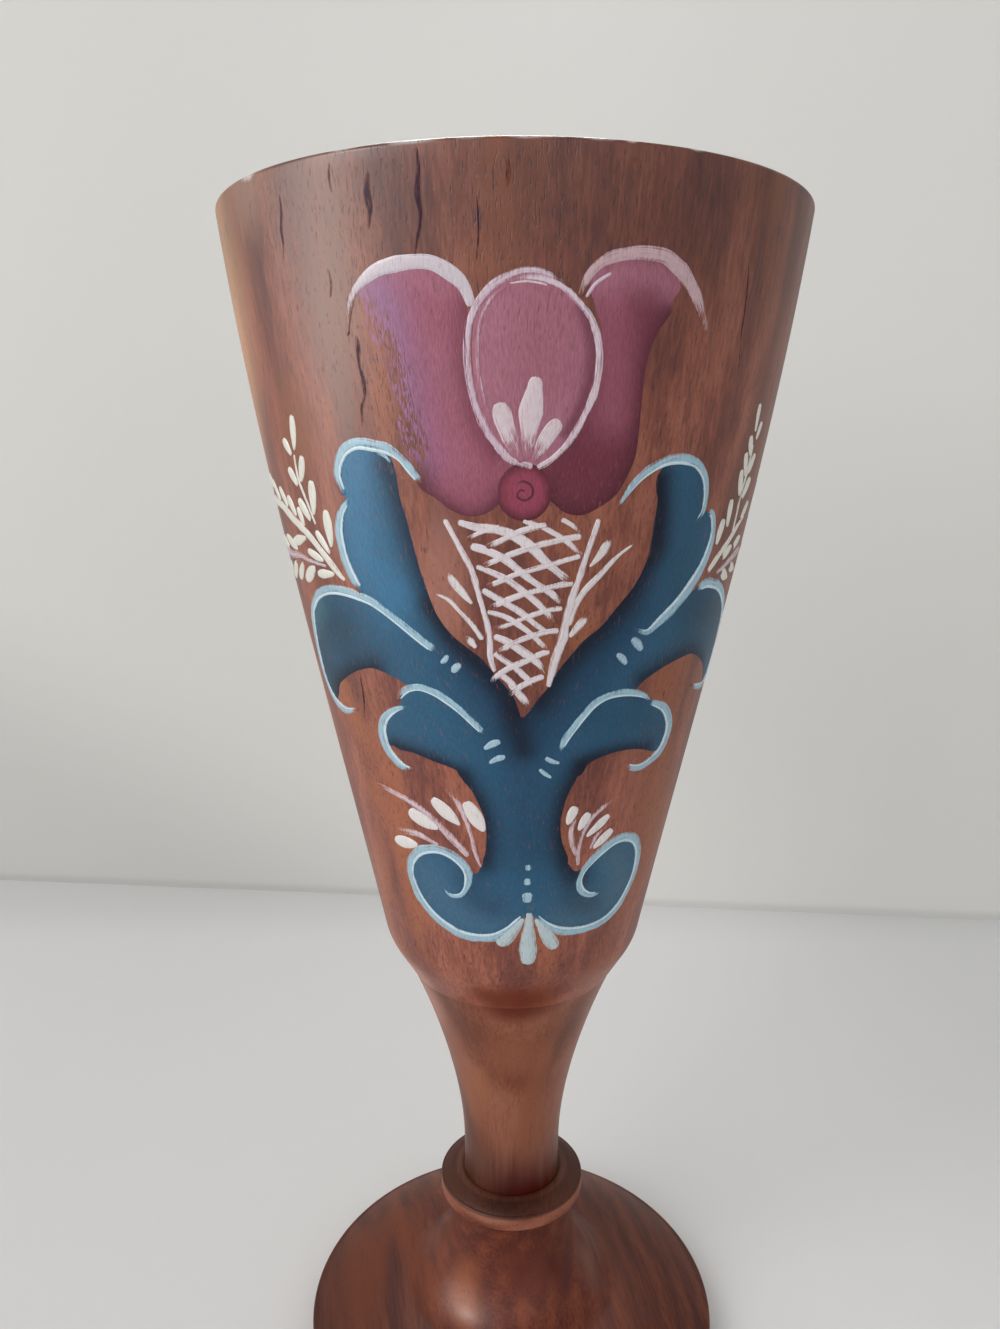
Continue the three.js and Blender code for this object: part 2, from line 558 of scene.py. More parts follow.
@dataclass(frozen=True)
class WoodLook:
    """What wood shows at one point: sockets for its colour, its roughness and its relief."""

    colour: Socket
    roughness: Socket
    height: Socket


@dataclass(frozen=True)
class PaintedLightRamp:
    """Painted light and shade: a slow change of brightness over a surface, a factor on its colour that is
    reached between two distances along an aim.
    """

    aim: Triple
    start: float
    stop: float
    factor: float

    def tint(self, recipe: Recipe, where: Socket, colour: Socket) -> Socket:
        """Multiplies a colour by 1 before the start and by the factor past the stop."""
        along = recipe.node("ShaderNodeVectorMath", {0: where, 1: self.aim}, operation="DOT_PRODUCT")
        share = recipe.between(along.outputs["Value"], self.start * MM, self.stop * MM)
        return recipe.mix(1.0, colour, recipe.spread(share, 1.0, self.factor), "MULTIPLY")


@dataclass(frozen=True)
class Zone:
    """A soft-edged patch where the colour turns towards one paint, streaked along the grain: mostly painted
    light, shade and reflections, and a few patches of other wood tone.
    """

    centre: Triple
    reach: Triple
    paint: Paint
    strength: float = 0.7
    fray: float = 0.45

    def tint(self, recipe: Recipe, where: Socket, streaks: Socket, colour: Socket) -> Socket:
        """Mixes the tone in: fully near the centre, and less and less up to the reach along each axis.

        Args:
            recipe: The node tree to build in.
            where: The point in the wood, in metres.
            streaks: Noise along the grain, which makes the edge ragged.
            colour: The colour so far.

        Returns:
            The colour.
        """
        scale = tuple(1 / (length * MM) for length in self.reach)
        shift = tuple(-place / length for place, length in zip(self.centre, self.reach, strict=True))
        scaled = recipe.node("ShaderNodeMapping", {"Vector": where, "Scale": scale, "Location": shift})
        length = recipe.node("ShaderNodeVectorMath", {0: scaled.outputs[0]}, operation="LENGTH")
        gap = length.outputs["Value"]
        ragged = recipe.figure("ADD", gap, recipe.spread(streaks, -self.fray, self.fray), held=False)
        share = recipe.spread(recipe.between(ragged, ZONE_CORE, 1.0), self.strength, 0.0)
        return recipe.veil(share, colour, self.paint)


@dataclass(frozen=True)
class TurnedWood:
    """A reddish brown, open-pored wood under satin varnish."""

    name: str
    grain: Grain
    dark: Paint
    middle: Paint
    light: Paint
    glow: Paint
    # painted light and shade: ramps of brightness, and soft zones of painted light, shade and reflection, a
    # few of them other wood tone
    painted_light_ramps: tuple[PaintedLightRamp, ...] = ()
    zones: tuple[Zone, ...] = ()
    pore: Paint = (58, 32, 32)
    vein: Paint = (44, 34, 48)
    pith: Triple = (-0.02, 0.09, 0.0)
    band_spacing: float = 5.0
    band_strength: float = 0.5
    pore_strength: float = 0.5
    vein_strength: float = 0.5
    gloss: float = 0.42
    coat: float = 0.12
    grain_turn: float = 0.0
    shift: Triple = (0.0, 0.0, 0.0)

    def look(self, recipe: Recipe) -> WoodLook:
        """Works the wood out in three dimensions, so that it runs through the piece.

        Year rings are waves of the distance from the pith. Over them lie broad changes of tone, fine
        fibres, and pores: short dark dashes along the fibres. Before the pores, zones and ramps of
        painted light, shade and reflection, with a few patches of other wood tone, go into the colour.

        Args:
            recipe: The node tree to build in.

        Returns:
            The wood's sockets.
        """
        turned = {"Vector": recipe.place(), "Rotation": (0.0, 0.0, radians(self.grain_turn))}
        where = recipe.node("ShaderNodeMapping", turned).outputs[0]
        centred = recipe.node("ShaderNodeMapping", {"Vector": where, "Location": self.pith})
        scale = 1 / (self.band_spacing * MM * WAVES_PER_UNIT)
        rings = recipe.node(
            "ShaderNodeTexWave",
            {"Vector": centred.outputs[0], "Scale": scale, **BAND_WAVER},
            wave_type="RINGS",
            rings_direction="Z" if self.grain is Grain.LONG else "Y",
        ).outputs["Color"]
        fibres = FIBRES.over(recipe, where, self.grain, self.shift)
        streaks = STREAKS.over(recipe, where, self.grain, self.shift)
        clouds = CLOUDS.over(recipe, where, self.grain, self.shift)
        banded = recipe.mix(self.band_strength, streaks, rings)
        tone = recipe.between(recipe.mix(0.5, banded, fibres), *TONE_RANGE)
        colour = recipe.tones(tone, (self.dark, self.middle, self.light))
        colour = recipe.veil(recipe.between(clouds, *GLOW_RANGE), colour, self.glow)
        # painted light, shade and reflections laid into the colour, with a few patches of other wood tone
        for zone in self.zones:
            colour = zone.tint(recipe, where, streaks, colour)
        for light_ramp in self.painted_light_ramps:
            colour = light_ramp.tint(recipe, where, colour)
        dashes = DASHES.over(recipe, where, self.grain, self.shift)
        crowd = recipe.spread(recipe.between(clouds, *CROWD_RANGE), *CROWD_SHIFT)
        pores = recipe.between(recipe.figure("ADD", dashes, crowd, held=False), *PORE_RANGE)
        threads = recipe.between(THREADS.over(recipe, where, self.grain, self.shift), *THREAD_RANGE)
        broken = recipe.figure("MULTIPLY", threads, recipe.between(dashes, *BREAK_RANGE))
        colour = recipe.veil(recipe.figure("MULTIPLY", pores, self.pore_strength), colour, self.pore)
        colour = recipe.veil(recipe.figure("MULTIPLY", broken, self.vein_strength), colour, self.vein)
        roughness = recipe.spread(fibres, *WOOD_ROUGHNESS)
        sunk = recipe.figure("MULTIPLY", pores, PORE_DEPTH)
        height = recipe.figure("SUBTRACT", recipe.spread(fibres, *FIBRE_HEIGHT), sunk)
        return WoodLook(colour, roughness, height)

    def material(self) -> bpy.types.Material:
        """The wood by itself."""
        recipe = Recipe(self.name)
        wood = self.look(recipe)
        normal = recipe.relief(wood.height, WOOD_RELIEF)
        return recipe.varnished(wood.colour, wood.roughness, normal, self.gloss, self.coat)


@dataclass(frozen=True)
class BrushedPaint:
    """Craft paint brushed thinly over the wood: hair streaks, thin places, and pores that show through."""

    name: str
    wood: TurnedWood
    hair: tuple[float, float] = (9.0, 0.2)
    hair_roughness: float = 0.6
    unevenness: float = 0.16
    pore_show: float = 0.45
    grain_catch: float = 0.8
    relief: float = 0.1
    gloss: float = 0.3
    coat: float = 0.06

    def material(self) -> bpy.types.Material:
        """Builds the paint.

        The mesh notes the paint, what lies under it, how far along and across the pull each point is,
        and how well the brush was loaded there. Where hair-shaped noise is stronger than the load,
        what lies under shows: an earlier coat where there is one, and otherwise the wood.

        Returns:
            The material.
        """
        recipe = Recipe(self.name)
        wood = self.wood.look(recipe)
        under = recipe.mix(recipe.note("under", "Alpha"), wood.colour, recipe.note("under", "Color"))
        brush = recipe.node("ShaderNodeSeparateXYZ", {"Vector": recipe.note("brush", "Vector")})
        load = brush.outputs["Z"]
        flat = recipe.node("ShaderNodeCombineXYZ", {"X": brush.outputs["X"], "Y": brush.outputs["Y"]})
        hairs = recipe.noise(flat.outputs[0], (*self.hair, 1.0), detail=3.0, roughness=self.hair_roughness)
        blots = recipe.noise(flat.outputs[0], BLOT_SIZE)
        where = recipe.place()
        pores = recipe.between(SHOWN_PORES.over(recipe, where, Grain.LONG), *SHOWN_PORE_RANGE)
        ragged = recipe.between(CATCHES.over(recipe, where, Grain.LONG), *CATCH_RANGE)
        swing = recipe.spread(ragged, 1 - self.grain_catch, 1 + self.grain_catch)
        lack = recipe.figure("MULTIPLY", recipe.figure("SUBTRACT", 1.0, load), swing, held=False)
        edge = recipe.mix(BLOT_SHARE, hairs, blots)
        gap = recipe.figure("SUBTRACT", recipe.figure("ADD", lack, edge), BARE_LIMIT)
        cover = recipe.figure("SUBTRACT", 1.0, recipe.between(gap, 0.0, BARE_REACH))
        cover = recipe.figure("SUBTRACT", cover, recipe.figure("MULTIPLY", pores, self.pore_show))
        uneven = recipe.mix(CATCH_SHARE, hairs, ragged)
        shade = recipe.spread(uneven, 0.5 + self.unevenness, 0.5 - self.unevenness)
        paint = recipe.mix(1.0, recipe.note("paint", "Color"), shade, "OVERLAY")
        shown = recipe.mix(cover, under, paint)
        grown = recipe.figure("MULTIPLY", wood.height, GROWN_HEIGHT)
        film, streaks = (recipe.figure("MULTIPLY", part, FILM_HEIGHT) for part in (cover, hairs))
        height = recipe.figure("ADD", grown, recipe.figure("ADD", film, streaks))
        roughness = recipe.spread(hairs, *PAINT_ROUGHNESS)
        return recipe.varnished(shown, roughness, recipe.relief(height, self.relief), self.gloss, self.coat)


# The painter's work

GLAZE_STEPS = 40  # points on a glaze's line
PATCH_STEP = 0.55  # millimetres from row to row of a patch
LEAST_PATCH_ROWS = 12
STROKE_STEP = 0.32  # and of a stroke
LEAST_STROKE_ROWS = 14
LEAST_WIDTH = 0.12  # the narrowest line that a brush draws
END_ROUND = 0.6  # how much of its width a stroke's round end is long
LEAST_END = 0.0004  # the square of the share of its width that is left at its very end
DAB_PLACES = (0.0, 0.15, 0.4, 0.65, 0.85, 1.0)
DAB_WIDTHS = (0.35, 0.8, 1.0, 0.88, 0.55, 0.15)
NARROWEST = 0.02  # a film narrower than about three times its height is lowered, but not below
LOWEST_SHARE = 0.05  # this share of its height
RIM_DEPTH = 0.03  # how far a film's rims lie under the wood
BACK_DEPTH = 0.06  # and its back
TIP_DEPTH = 0.01  # and its two ends
PATCH_BACK = 16.0  # the power of a patch's flat back
STROKE_BACK = 2.4  # and of a stroke's round one
STROKE_COLUMNS = 8
PULL_GAP = 41.0  # how far apart two pulls lie in the brush's noise
DRYNESS = 0.6  # how much paint a patch loses on its dry line
TREMBLE = 0.07  # how uneven a pull is, as a share of its width
TREMBLE_STEP = 1.2  # millimetres from one tremble of the hand to the next
DRY_LOAD = 0.45  # the share of its load that a brush has left at a dry end
TINY = 1e-6


@dataclass(frozen=True)
class BowlSkin:
    """The bowl's outer side, on which the ornament is laid out flat: across to the right, and up."""

    side: Array

    def wrap(self, spots: Array, lift: Array | float) -> Array:
        """Wraps flat spots round the bowl.

        A spot turns by its distance across over the radius at its height. It then stands off by the
        lift, along a normal that leans as the side leans.

        Args:
            spots: Rows, or grids of rows, of distance across and height.
            lift: How far each spot stands off the wood.

        Returns:
            Points in space.
        """
        radii, heights = self.side.T
        radius = np.interp(spots[..., 1], heights, radii)
        lean = np.interp(spots[..., 1], heights, np.gradient(radii, heights))
        turn = spots[..., 0] / radius
        steep = 1 / np.hypot(1, lean)
        reach = radius + lift * steep
        up = spots[..., 1] - lift * lean * steep
        return np.stack([reach * np.sin(turn), -reach * np.cos(turn), up], axis=-1)


@dataclass(frozen=True)
class Glaze:
    """A soft change of paint along a line: strongest on the line, and fading as a bell curve."""

    paint: Paint
    path: tuple[Spot, ...]
    reach: float
    strength: float = 1.0

    def weight(self, spots: Array) -> Array:
        """How much of the glaze lies on each spot.

        Args:
            spots: Rows of distance across and height.

        Returns:
            The strength times e to the minus square of distance over reach.
        """
        line = smooth_line(np.array(self.path), GLAZE_STEPS)
        gap = np.hypot(*np.moveaxis(spots[:, None] - line[None], -1, 0)).min(axis=1)
        return self.strength * np.exp(-((gap / self.reach) ** 2))


@dataclass(frozen=True)
class Ground:
    """A coat of one paint with glazes worked into it, in order."""

    base: Paint
    glazes: tuple[Glaze, ...] = ()

    def colour(self, spots: Array) -> Array:
        """The blended paint on each spot, in linear light."""
        mixed = np.tile(linear(self.base), (len(spots), 1))
        for glaze in self.glazes:
            share = glaze.weight(spots)[:, None]
            mixed = mixed * (1 - share) + np.array(linear(glaze.paint)) * share
        return mixed


def as_rows(points: Array) -> tuple[tuple[float, ...], ...]:
    """An array's rows as plain tuples."""
    return tuple(map(tuple, points.tolist()))


def mirrored(spots: Iterable[Spot], centre: float) -> tuple[Spot, ...]:
    """Turns spots over about an upright line."""
    return tuple((2 * centre - across, up) for across, up in spots)


def compass(turn: float) -> tuple[Array, Array]:
    """The unit steps ahead and to the left of a direction."""
    return np.array([np.cos(turn), np.sin(turn)]), np.array([-np.sin(turn), np.cos(turn)])


def there_and_back(steps: int) -> Array:
    """Shares from 0 to 1 over a film's top, and back underneath without the two ends."""
    share = np.linspace(0, 1, steps + 1)
    return np.concatenate([share, share[-2:0:-1]])


@dataclass(frozen=True)
class Patch:
    """A painted shape between a left and a right edge, both followed from one end to the other."""

    left: tuple[Spot, ...]
    right: tuple[Spot, ...]
    ground: Ground
    dry_line: tuple[Spot, ...] = ()
    dry_reach: float = 3.0
    lift: float = 0.03
    columns: int = 22

    def edges(self) -> tuple[Array, Array]:
        """Both edges in even steps, with as many points each."""
        rows = max(LEAST_PATCH_ROWS, int(self.run() / PATCH_STEP))
        return smooth_line(np.array(self.left), rows), smooth_line(np.array(self.right), rows)

    def run(self) -> float:
        """The length of the longer edge."""
        lengths = [np.hypot(*np.diff(np.array(edge), axis=0).T).sum() for edge in (self.left, self.right)]
        return float(max(lengths))

    def holds(self, spots: Array) -> Array:
        """Which spots lie inside: a line to the right of one crosses the rim an odd number of times."""
        left, right = self.edges()
        rim = np.concatenate([left, right[::-1]])
        ahead = np.roll(rim, -1, axis=0)
        above = rim[:, 1] > spots[:, 1:]
        ahead_above = ahead[:, 1] > spots[:, 1:]
        rise = np.where(ahead[:, 1] == rim[:, 1], TINY, ahead[:, 1] - rim[:, 1])
        crossing = rim[:, 0] + (spots[:, 1:] - rim[:, 1]) * (ahead[:, 0] - rim[:, 0]) / rise
        return ((above != ahead_above) & (spots[:, :1] < crossing)).sum(axis=1) % 2 == 1


@dataclass(frozen=True)
class Stroke:
    """One pull of the brush: a line with a width at each point."""

    path: Pull
    paint: Paint
    load: float = 0.9
    lift: float = 0.09
    dry_start: float = 0.0
    dry_end: float = 0.0
    rim: float = 0.25

    def edges(self, tremble: Array) -> tuple[Array, Array]:
        """Both edges of the pull, which come together in a round at each end.

        Within half a width of an end the width follows a circle. A slight tremble of the hand makes
        the width uneven.

        Args:
            tremble: Random values, about 1, spread along the pull.

        Returns:
            The left and the right edge, seen along the pull.
        """
        pull = np.array(self.path)
        steps = np.hypot(*np.diff(pull[:, :2], axis=0).T)
        length = float(steps.sum())
        line = smooth_line(pull, max(LEAST_STROKE_ROWS, int(length / STROKE_STEP)))
        along = np.linspace(0, length, len(line))
        width = np.maximum(line[:, 2], LEAST_WIDTH)
        width = width * np.interp(np.linspace(0, 1, len(line)), np.linspace(0, 1, len(tremble)), tremble)
        for gone in (along, along[::-1]):
            end = min(END_ROUND * float(width[np.argmin(gone)]), length / 3)
            left_over = 1 - np.clip(gone / end, 0, 1)
            width = width * np.sqrt(np.clip(1 - left_over**2, LEAST_END, 1))
        ahead = np.gradient(line[:, :2], axis=0)
        ahead = ahead / np.hypot(*ahead.T)[:, None]
        aside = np.column_stack([-ahead[:, 1], ahead[:, 0]]) * width[:, None] / 2
        return line[:, :2] + aside, line[:, :2] - aside


def drop(start: Spot, end: Spot, width: float, paint: Paint, lift: float = 0.09) -> Stroke:
    """One dab of a round brush: fullest near its middle, and drawn out to a point.

    Args:
        start: Where the brush comes down.
        end: Where it leaves.
        width: The greatest width.
        paint: The paint.
        lift: How far its top stands off the wood.

    Returns:
        The dab as a stroke.
    """
    first, last = np.array(start), np.array(end)
    widths = width * np.array(DAB_WIDTHS)
    spots = first + (last - first) * np.array(DAB_PLACES)[:, None]
    return Stroke(as_rows(np.column_stack([spots, widths])), paint, load=0.97, lift=lift, rim=0.12)


@dataclass
class Easel:
    """Lays patches and strokes on the bowl, and remembers what is already painted there."""

    skin: BowlSkin
    patches: list[Patch] = field(default_factory=list)
    luck: np.random.Generator = field(default_factory=lambda: np.random.default_rng(11))
    pulls: int = 0

    def beneath(self, spots: Array) -> Array:
        """What lies under spots: linear light of the topmost patch, and 1 where there is a patch."""
        under = np.zeros((len(spots), 4))
        for patch in self.patches:
            inside = patch.holds(spots)
            if inside.any():
                colour = patch.ground.colour(spots[inside])
                under[inside] = np.column_stack([colour, np.ones(len(colour))])
        return under

    def film(self, left: Array, right: Array, top: float, square: float, columns: int) -> Shell:
        """A closed film of paint between two edges.

        The section runs from the left edge over the top to the right edge, and back under the wood.
        Its height is the square root of 1 less the distance from the middle, as a share, to a power.

        Args:
            left: The left edge, seen along the film.
            right: The right edge, with as many points.
            top: How far the top stands off the wood.
            square: The power: 2 for a round back, more for a flat one.
            columns: Steps from edge to edge.

        Returns:
            The film, with the note of its flat spots for later use.
        """
        over = there_and_back(columns)
        rise = (top + RIM_DEPTH) * np.sqrt(1 - np.abs(2 * over[: columns + 1] - 1) ** square) - RIM_DEPTH
        sunk = np.full(columns - 1, -BACK_DEPTH)
        lift = np.concatenate([rise, sunk])
        spots = left[:, None] + (right - left)[:, None] * over[None, :, None]
        taper = np.hypot(*(right - left).T) / (3 * top + NARROWEST)
        taper = np.clip(taper, LOWEST_SHARE, 1)[:, None]
        rings = self.skin.wrap(spots, np.where(lift > 0, lift * taper, lift))
        ends = (left[[0, -1]] + right[[0, -1]]) / 2
        poles = self.skin.wrap(ends, -TIP_DEPTH)
        shell = Shell(poles, rings)
        shell.notes["flat"] = (ends, spots)
        return shell

    def note(
        self, shell: Shell, colour: Array, under: Array, load: Array, wide: float, long: float
    ) -> Shell:
        """Writes the paint's notes on a film, where rings and their columns are in order.

        Args:
            shell: The film.
            colour: Linear light for each pole and ring vertex, as rows.
            under: What lies under each of them, as rows.
            load: How well the brush is loaded at each of them.
            wide: The film's greatest width.
            long: The film's length.

        Returns:
            The same film.
        """
        rings, around = shell.rings.shape[:2]
        across = there_and_back(around // 2) * wide
        along = np.linspace(0, long, rings) + PULL_GAP * self.pulls
        grid = np.stack(np.broadcast_arrays(along[:, None], across[None, :]), axis=-1)
        ends = np.array([[along[0], wide / 2], [along[-1], wide / 2]])
        flat = np.concatenate([ends[:1], grid.reshape(-1, 2), ends[1:]])
        solid = np.column_stack([colour, np.ones(len(colour))])
        brush = np.column_stack([flat, load])
        del shell.notes["flat"]
        for name, rows in (("paint", solid), ("under", under), ("brush", brush)):
            body = rows[1:-1].reshape(rings, around, -1)
            shell.notes[name] = (rows[[0, -1]], body)
        self.pulls += 1
        return shell

    def lay_patch(self, patch: Patch) -> Shell:
        """Paints a patch and remembers it.

        Args:
            patch: The patch.

        Returns:
            Its film.
        """
        left, right = patch.edges()
        rim = np.concatenate([left, right[::-1]])
        ahead = np.roll(rim, -1, axis=0)
        turned_over = (rim[:, 0] * ahead[:, 1] - ahead[:, 0] * rim[:, 1]).sum() > 0
        if turned_over:
            left, right = right, left
        shell = self.film(left, right, patch.lift, PATCH_BACK, patch.columns)
        spots = shell.note("flat")
        under = self.beneath(spots)
        load = np.ones(len(spots))
        if patch.dry_line:
            load -= Glaze(patch.ground.base, patch.dry_line, patch.dry_reach, DRYNESS).weight(spots)
        wide = float(np.hypot(*(right - left).T).max())
        self.patches.append(patch)
        return self.note(shell, patch.ground.colour(spots), under, load, wide, patch.run())

    def lay_stroke(self, stroke: Stroke) -> Shell:
        """Pulls a stroke.

        The brush is loaded least at the rims of the pull and, where the stroke says so, at its ends.

        Args:
            stroke: The stroke.

        Returns:
            Its film.
        """
        pull = np.array(stroke.path)
        long = float(np.hypot(*np.diff(pull[:, :2], axis=0).T).sum())
        tremble = 1 + TREMBLE * self.luck.standard_normal(max(4, int(long / TREMBLE_STEP)))
        left, right = stroke.edges(tremble)
        shell = self.film(left, right, stroke.lift, STROKE_BACK, STROKE_COLUMNS)
        spots = shell.note("flat")
        rings, around = shell.rings.shape[:2]
        side = np.abs(2 * there_and_back(around // 2) - 1)
        along = np.linspace(0, long, rings)
        wet = np.clip(along / max(stroke.dry_start, TINY), 0, 1)
        wet = wet * np.clip((long - along) / max(stroke.dry_end, TINY), 0, 1)
        loaded = DRY_LOAD + (1 - DRY_LOAD) * wet[:, None]
        load = stroke.load * loaded * (1 - stroke.rim * side[None, :] ** 2)
        load = np.concatenate([[0.5], load.ravel(), [0.5]])
        colour = np.tile(linear(stroke.paint), (len(spots), 1))
        return self.note(shell, colour, self.beneath(spots), load, float(pull[:, 2].max()), long)


# The turned pieces


@dataclass(frozen=True)
class Span:
    """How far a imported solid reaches, in millimetres."""

    radius: float
    low: float
    high: float

    @classmethod
    def of(cls, node: str) -> "Span":
        """Reads a node's reach from its imported solid."""
        lowest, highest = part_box(node)
        return cls(highest[0] / MM, lowest[2] / MM, highest[2] / MM)


@dataclass
class Foot:
    """The low foot: hollow underneath, an upright edge, a flat dome, and a cove up to the neck."""

    wood: TurnedWood
    span: Span
    edge_height: float = 5.0
    edge_round: float = 0.7
    dome_rise: float = 5.2
    dome_swell: float = 1.0
    neck_radius: float = 11.05
    cove_reach: float = 9.0
    standing_rim: float = 8.0
    hollow: float = 1.2

    def outline(self) -> Array:
        """The foot's half section, closed on the axis above and below."""
        radius, top = self.span.radius, self.span.high
        flat = radius - self.standing_rim
        cove = self.neck_radius + self.cove_reach
        cove_height = self.edge_height + self.dome_rise
        edge = radius - self.edge_round
        slope = self.dome_rise / (edge - cove)
        line = Outline(0, self.hollow).line(flat - self.hollow, self.hollow, ROUND_STEPS).line(flat, 0)
        line.line(edge, 0).bend((radius, 0), (radius, self.edge_round), ROUND_STEPS)
        line.line(radius, self.edge_height - self.edge_round, 4)
        line.bend((radius, self.edge_height), (edge, self.edge_height), ROUND_STEPS)
        middle = (edge + cove) / 2
        swell = self.edge_height + self.dome_rise / 2 + 2 * self.dome_swell
        line.bend((middle, swell), (cove, cove_height))
        pull = cove_height + slope * self.cove_reach
        line.bend((self.neck_radius, pull), (self.neck_radius, top), 2 * CURVE_STEPS)
        return line.line(0, top).points()

    def build(self) -> Piece:
        """The dressed foot."""
        return make_piece("turned_foot", [spin(self.outline())], self.wood.material())


@dataclass
class StemRing:
    """The thin ring between foot and stem, whose top climbs to a lip round an open groove."""

    wood: TurnedWood
    span: Span
    edge_round: float = 0.5
    top_pull: float = 0.88
    lip_rise: float = 1.1
    lip_outer: float = 9.9
    lip_inner: float = 9.3
    ledge_radius: float = 8.86
    ledge_height: float = 2.2
    groove_depth: float = 0.12

    def outline(self) -> Array:
        """The ring's half section, closed on the axis, where the stem hides it."""
        radius, seat, lip_top = self.span.radius, self.span.low, self.span.high
        edge_top = lip_top - self.lip_rise
        edge = radius - self.edge_round
        line = Outline(0, seat).line(edge, seat, 4)
        line.bend((radius, seat), (radius, seat + self.edge_round), ROUND_STEPS)
        line.line(radius, edge_top - self.edge_round, 4)
        line.bend((radius, edge_top), (edge, edge_top), ROUND_STEPS)
        middle = (radius + self.lip_outer) / 2
        line.bend((middle, edge_top + self.top_pull), (self.lip_outer, lip_top))
        lip = (self.lip_outer + self.lip_inner) / 2
        line.bend((lip, lip_top), (self.lip_inner, lip_top), LIP_STEPS)
        groove = lip_top - self.groove_depth
        line.bend((self.lip_inner, groove), (self.ledge_radius, groove), ROUND_STEPS)
        ledge = seat + self.ledge_height
        return line.line(self.ledge_radius, ledge, 2).line(0, ledge).points()

    def build(self) -> Piece:
        """The dressed ring."""
        return make_piece("turned_ring", [spin(self.outline())], self.wood.material())


@dataclass
class Stem:
    """The stem: an upright waist above the ring, and a flare up to the bowl."""

    wood: TurnedWood
    foot: float
    top: float
    top_radius: float
    waist_radius: float = 8.8
    waist_length: float = 7.4
    waist_pull: float = 12.8
    chamfer: float = 0.5
    top_pull: float = 9.5
    top_slope: float = 0.44

    def outline(self) -> Array:
        """The stem's half section without its tenons, which never show."""
        waist_top = self.foot + self.waist_length
        line = Outline(0, self.foot).line(self.waist_radius - self.chamfer, self.foot, 2)
        line.line(self.waist_radius, self.foot + self.chamfer)
        line.line(self.waist_radius, waist_top, ROUND_STEPS)
        first = (self.waist_radius, waist_top + self.waist_pull)
        second = (self.top_radius - self.top_slope * self.top_pull, self.top - self.top_pull)
        line.sweep(first, second, (self.top_radius, self.top))
        return line.line(0, self.top, 2).points()

    def build(self) -> Piece:
        """The dressed stem."""
        return make_piece("turned_stem", [spin(self.outline())], self.wood.material())


@dataclass
class Bowl:
    """The flared bowl: a rounded shoulder, a bowed side, a rounded rim, and the hollow inside."""

    wood: TurnedWood
    span: Span
    seat_radius: float
    shoulder_radius: float = 22.4
    shoulder_height: float = 84.5
    shoulder_turn: float = 2.0
    shoulder_ease: float = 0.5
    shoulder_round: float = 2.2
    rim_round: float = 0.6
    wall: float = 4.6
    lower_belly: float = 0.6
    upper_belly: float = 2.7
    floor_height: float = 97.0
    floor_radius: float = 19.4
    floor_round: float = 6.0

    def swept(self, line: Outline, to: Spot, first: float, second: float) -> None:
        """Adds a side that bows out by one belly at each third.

        Args:
            line: The outline so far.
            to: Where the side ends.
            first: The belly a third of the way along.
            second: The belly two thirds of the way along.
        """
        start = line.end
        step = (np.array(to) - start) / 3
        one = start + step + np.array([first, 0])
        two = start + 2 * step + np.array([second, 0])
        line.sweep((one[0], one[1]), (two[0], two[1]), to)

    def outer(self) -> Outline:
        """The outer side from the stem to the rim's outer edge."""
        line = Outline(0, self.span.low).line(self.seat_radius, self.span.low, 2)
        pull = (self.shoulder_radius - self.shoulder_ease, self.shoulder_height - self.shoulder_turn)
        underside = np.array(pull) - line.end
        bend = np.array(pull) - underside / np.linalg.norm(underside) * self.shoulder_round
        line.line(bend[0], bend[1], ROUND_STEPS)
        line.bend(pull, (self.shoulder_radius, self.shoulder_height))
        edge = self.span.high - self.rim_round
        self.swept(line, (self.span.radius, edge), self.lower_belly, self.upper_belly)
        return line

    def skin(self) -> BowlSkin:
        """The outer side, ready to be painted."""
        return BowlSkin(self.outer().points()[2:])

    def outline(self) -> Array:
        """The bowl's half section: the outer side, the rim, and the inside down to its floor."""
        line = self.outer()
        radius, top = self.span.radius, self.span.high
        edge = top - self.rim_round
        mouth = radius - self.wall
        line.bend((radius, top), (radius - self.rim_round, top), RIM_STEPS)
        line.line(mouth + self.rim_round, top, 3)
        line.bend((mouth, top), (mouth, edge), RIM_STEPS)
        corner = self.floor_height + self.floor_round
        self.swept(line, (self.floor_radius, corner), self.upper_belly, self.lower_belly)
        inner = self.floor_radius - self.floor_round
        line.bend((self.floor_radius, self.floor_height), (inner, self.floor_height))
        return line.line(0, self.floor_height, 4).points()

    def build(self) -> Piece:
        """The dressed bowl."""
        return make_piece("turned_bowl", [spin(self.outline())], self.wood.material())


# The ornament

PLUM: Paint = (150, 80, 101)
DEEP_PLUM: Paint = (106, 40, 58)
MAROON: Paint = (80, 22, 38)
ROSE: Paint = (168, 106, 126)
LILAC: Paint = (142, 96, 136)
PINK_WHITE: Paint = (214, 197, 203)
CREAM: Paint = (228, 224, 214)
LIT_BLUE: Paint = (60, 120, 158)
BLUE: Paint = (44, 90, 120)
TEAL: Paint = (26, 64, 84)
DEEP_BLUE: Paint = (22, 56, 84)
NAVY: Paint = (8, 18, 38)


def even(path: Iterable[Spot], width: float) -> Pull:
    """Gives every spot of a path the same width."""
    return tuple((across, up, width) for across, up in path)


def widened(path: Pull, factor: float) -> Pull:
    """Multiplies a path's widths by a factor."""
    return tuple((across, up, factor * width) for across, up, width in path)


def paint_piece(
    name: str, easel: Easel, finish: BrushedPaint, patches: Sequence[Patch], strokes: Sequence[Stroke]
) -> Piece:
    """Paints patches and then strokes as one piece of the ornament.

    Args:
        name: The piece's name.
        easel: The easel with the bowl on it.
        finish: The paint's finish.
        patches: Patches, from the lowest up.
        strokes: Strokes, from the lowest up.

    Returns:
        The painted piece.
    """
    films = [easel.lay_patch(patch) for patch in patches]
    films += [easel.lay_stroke(stroke) for stroke in strokes]
    return make_piece(name, films, finish.material())


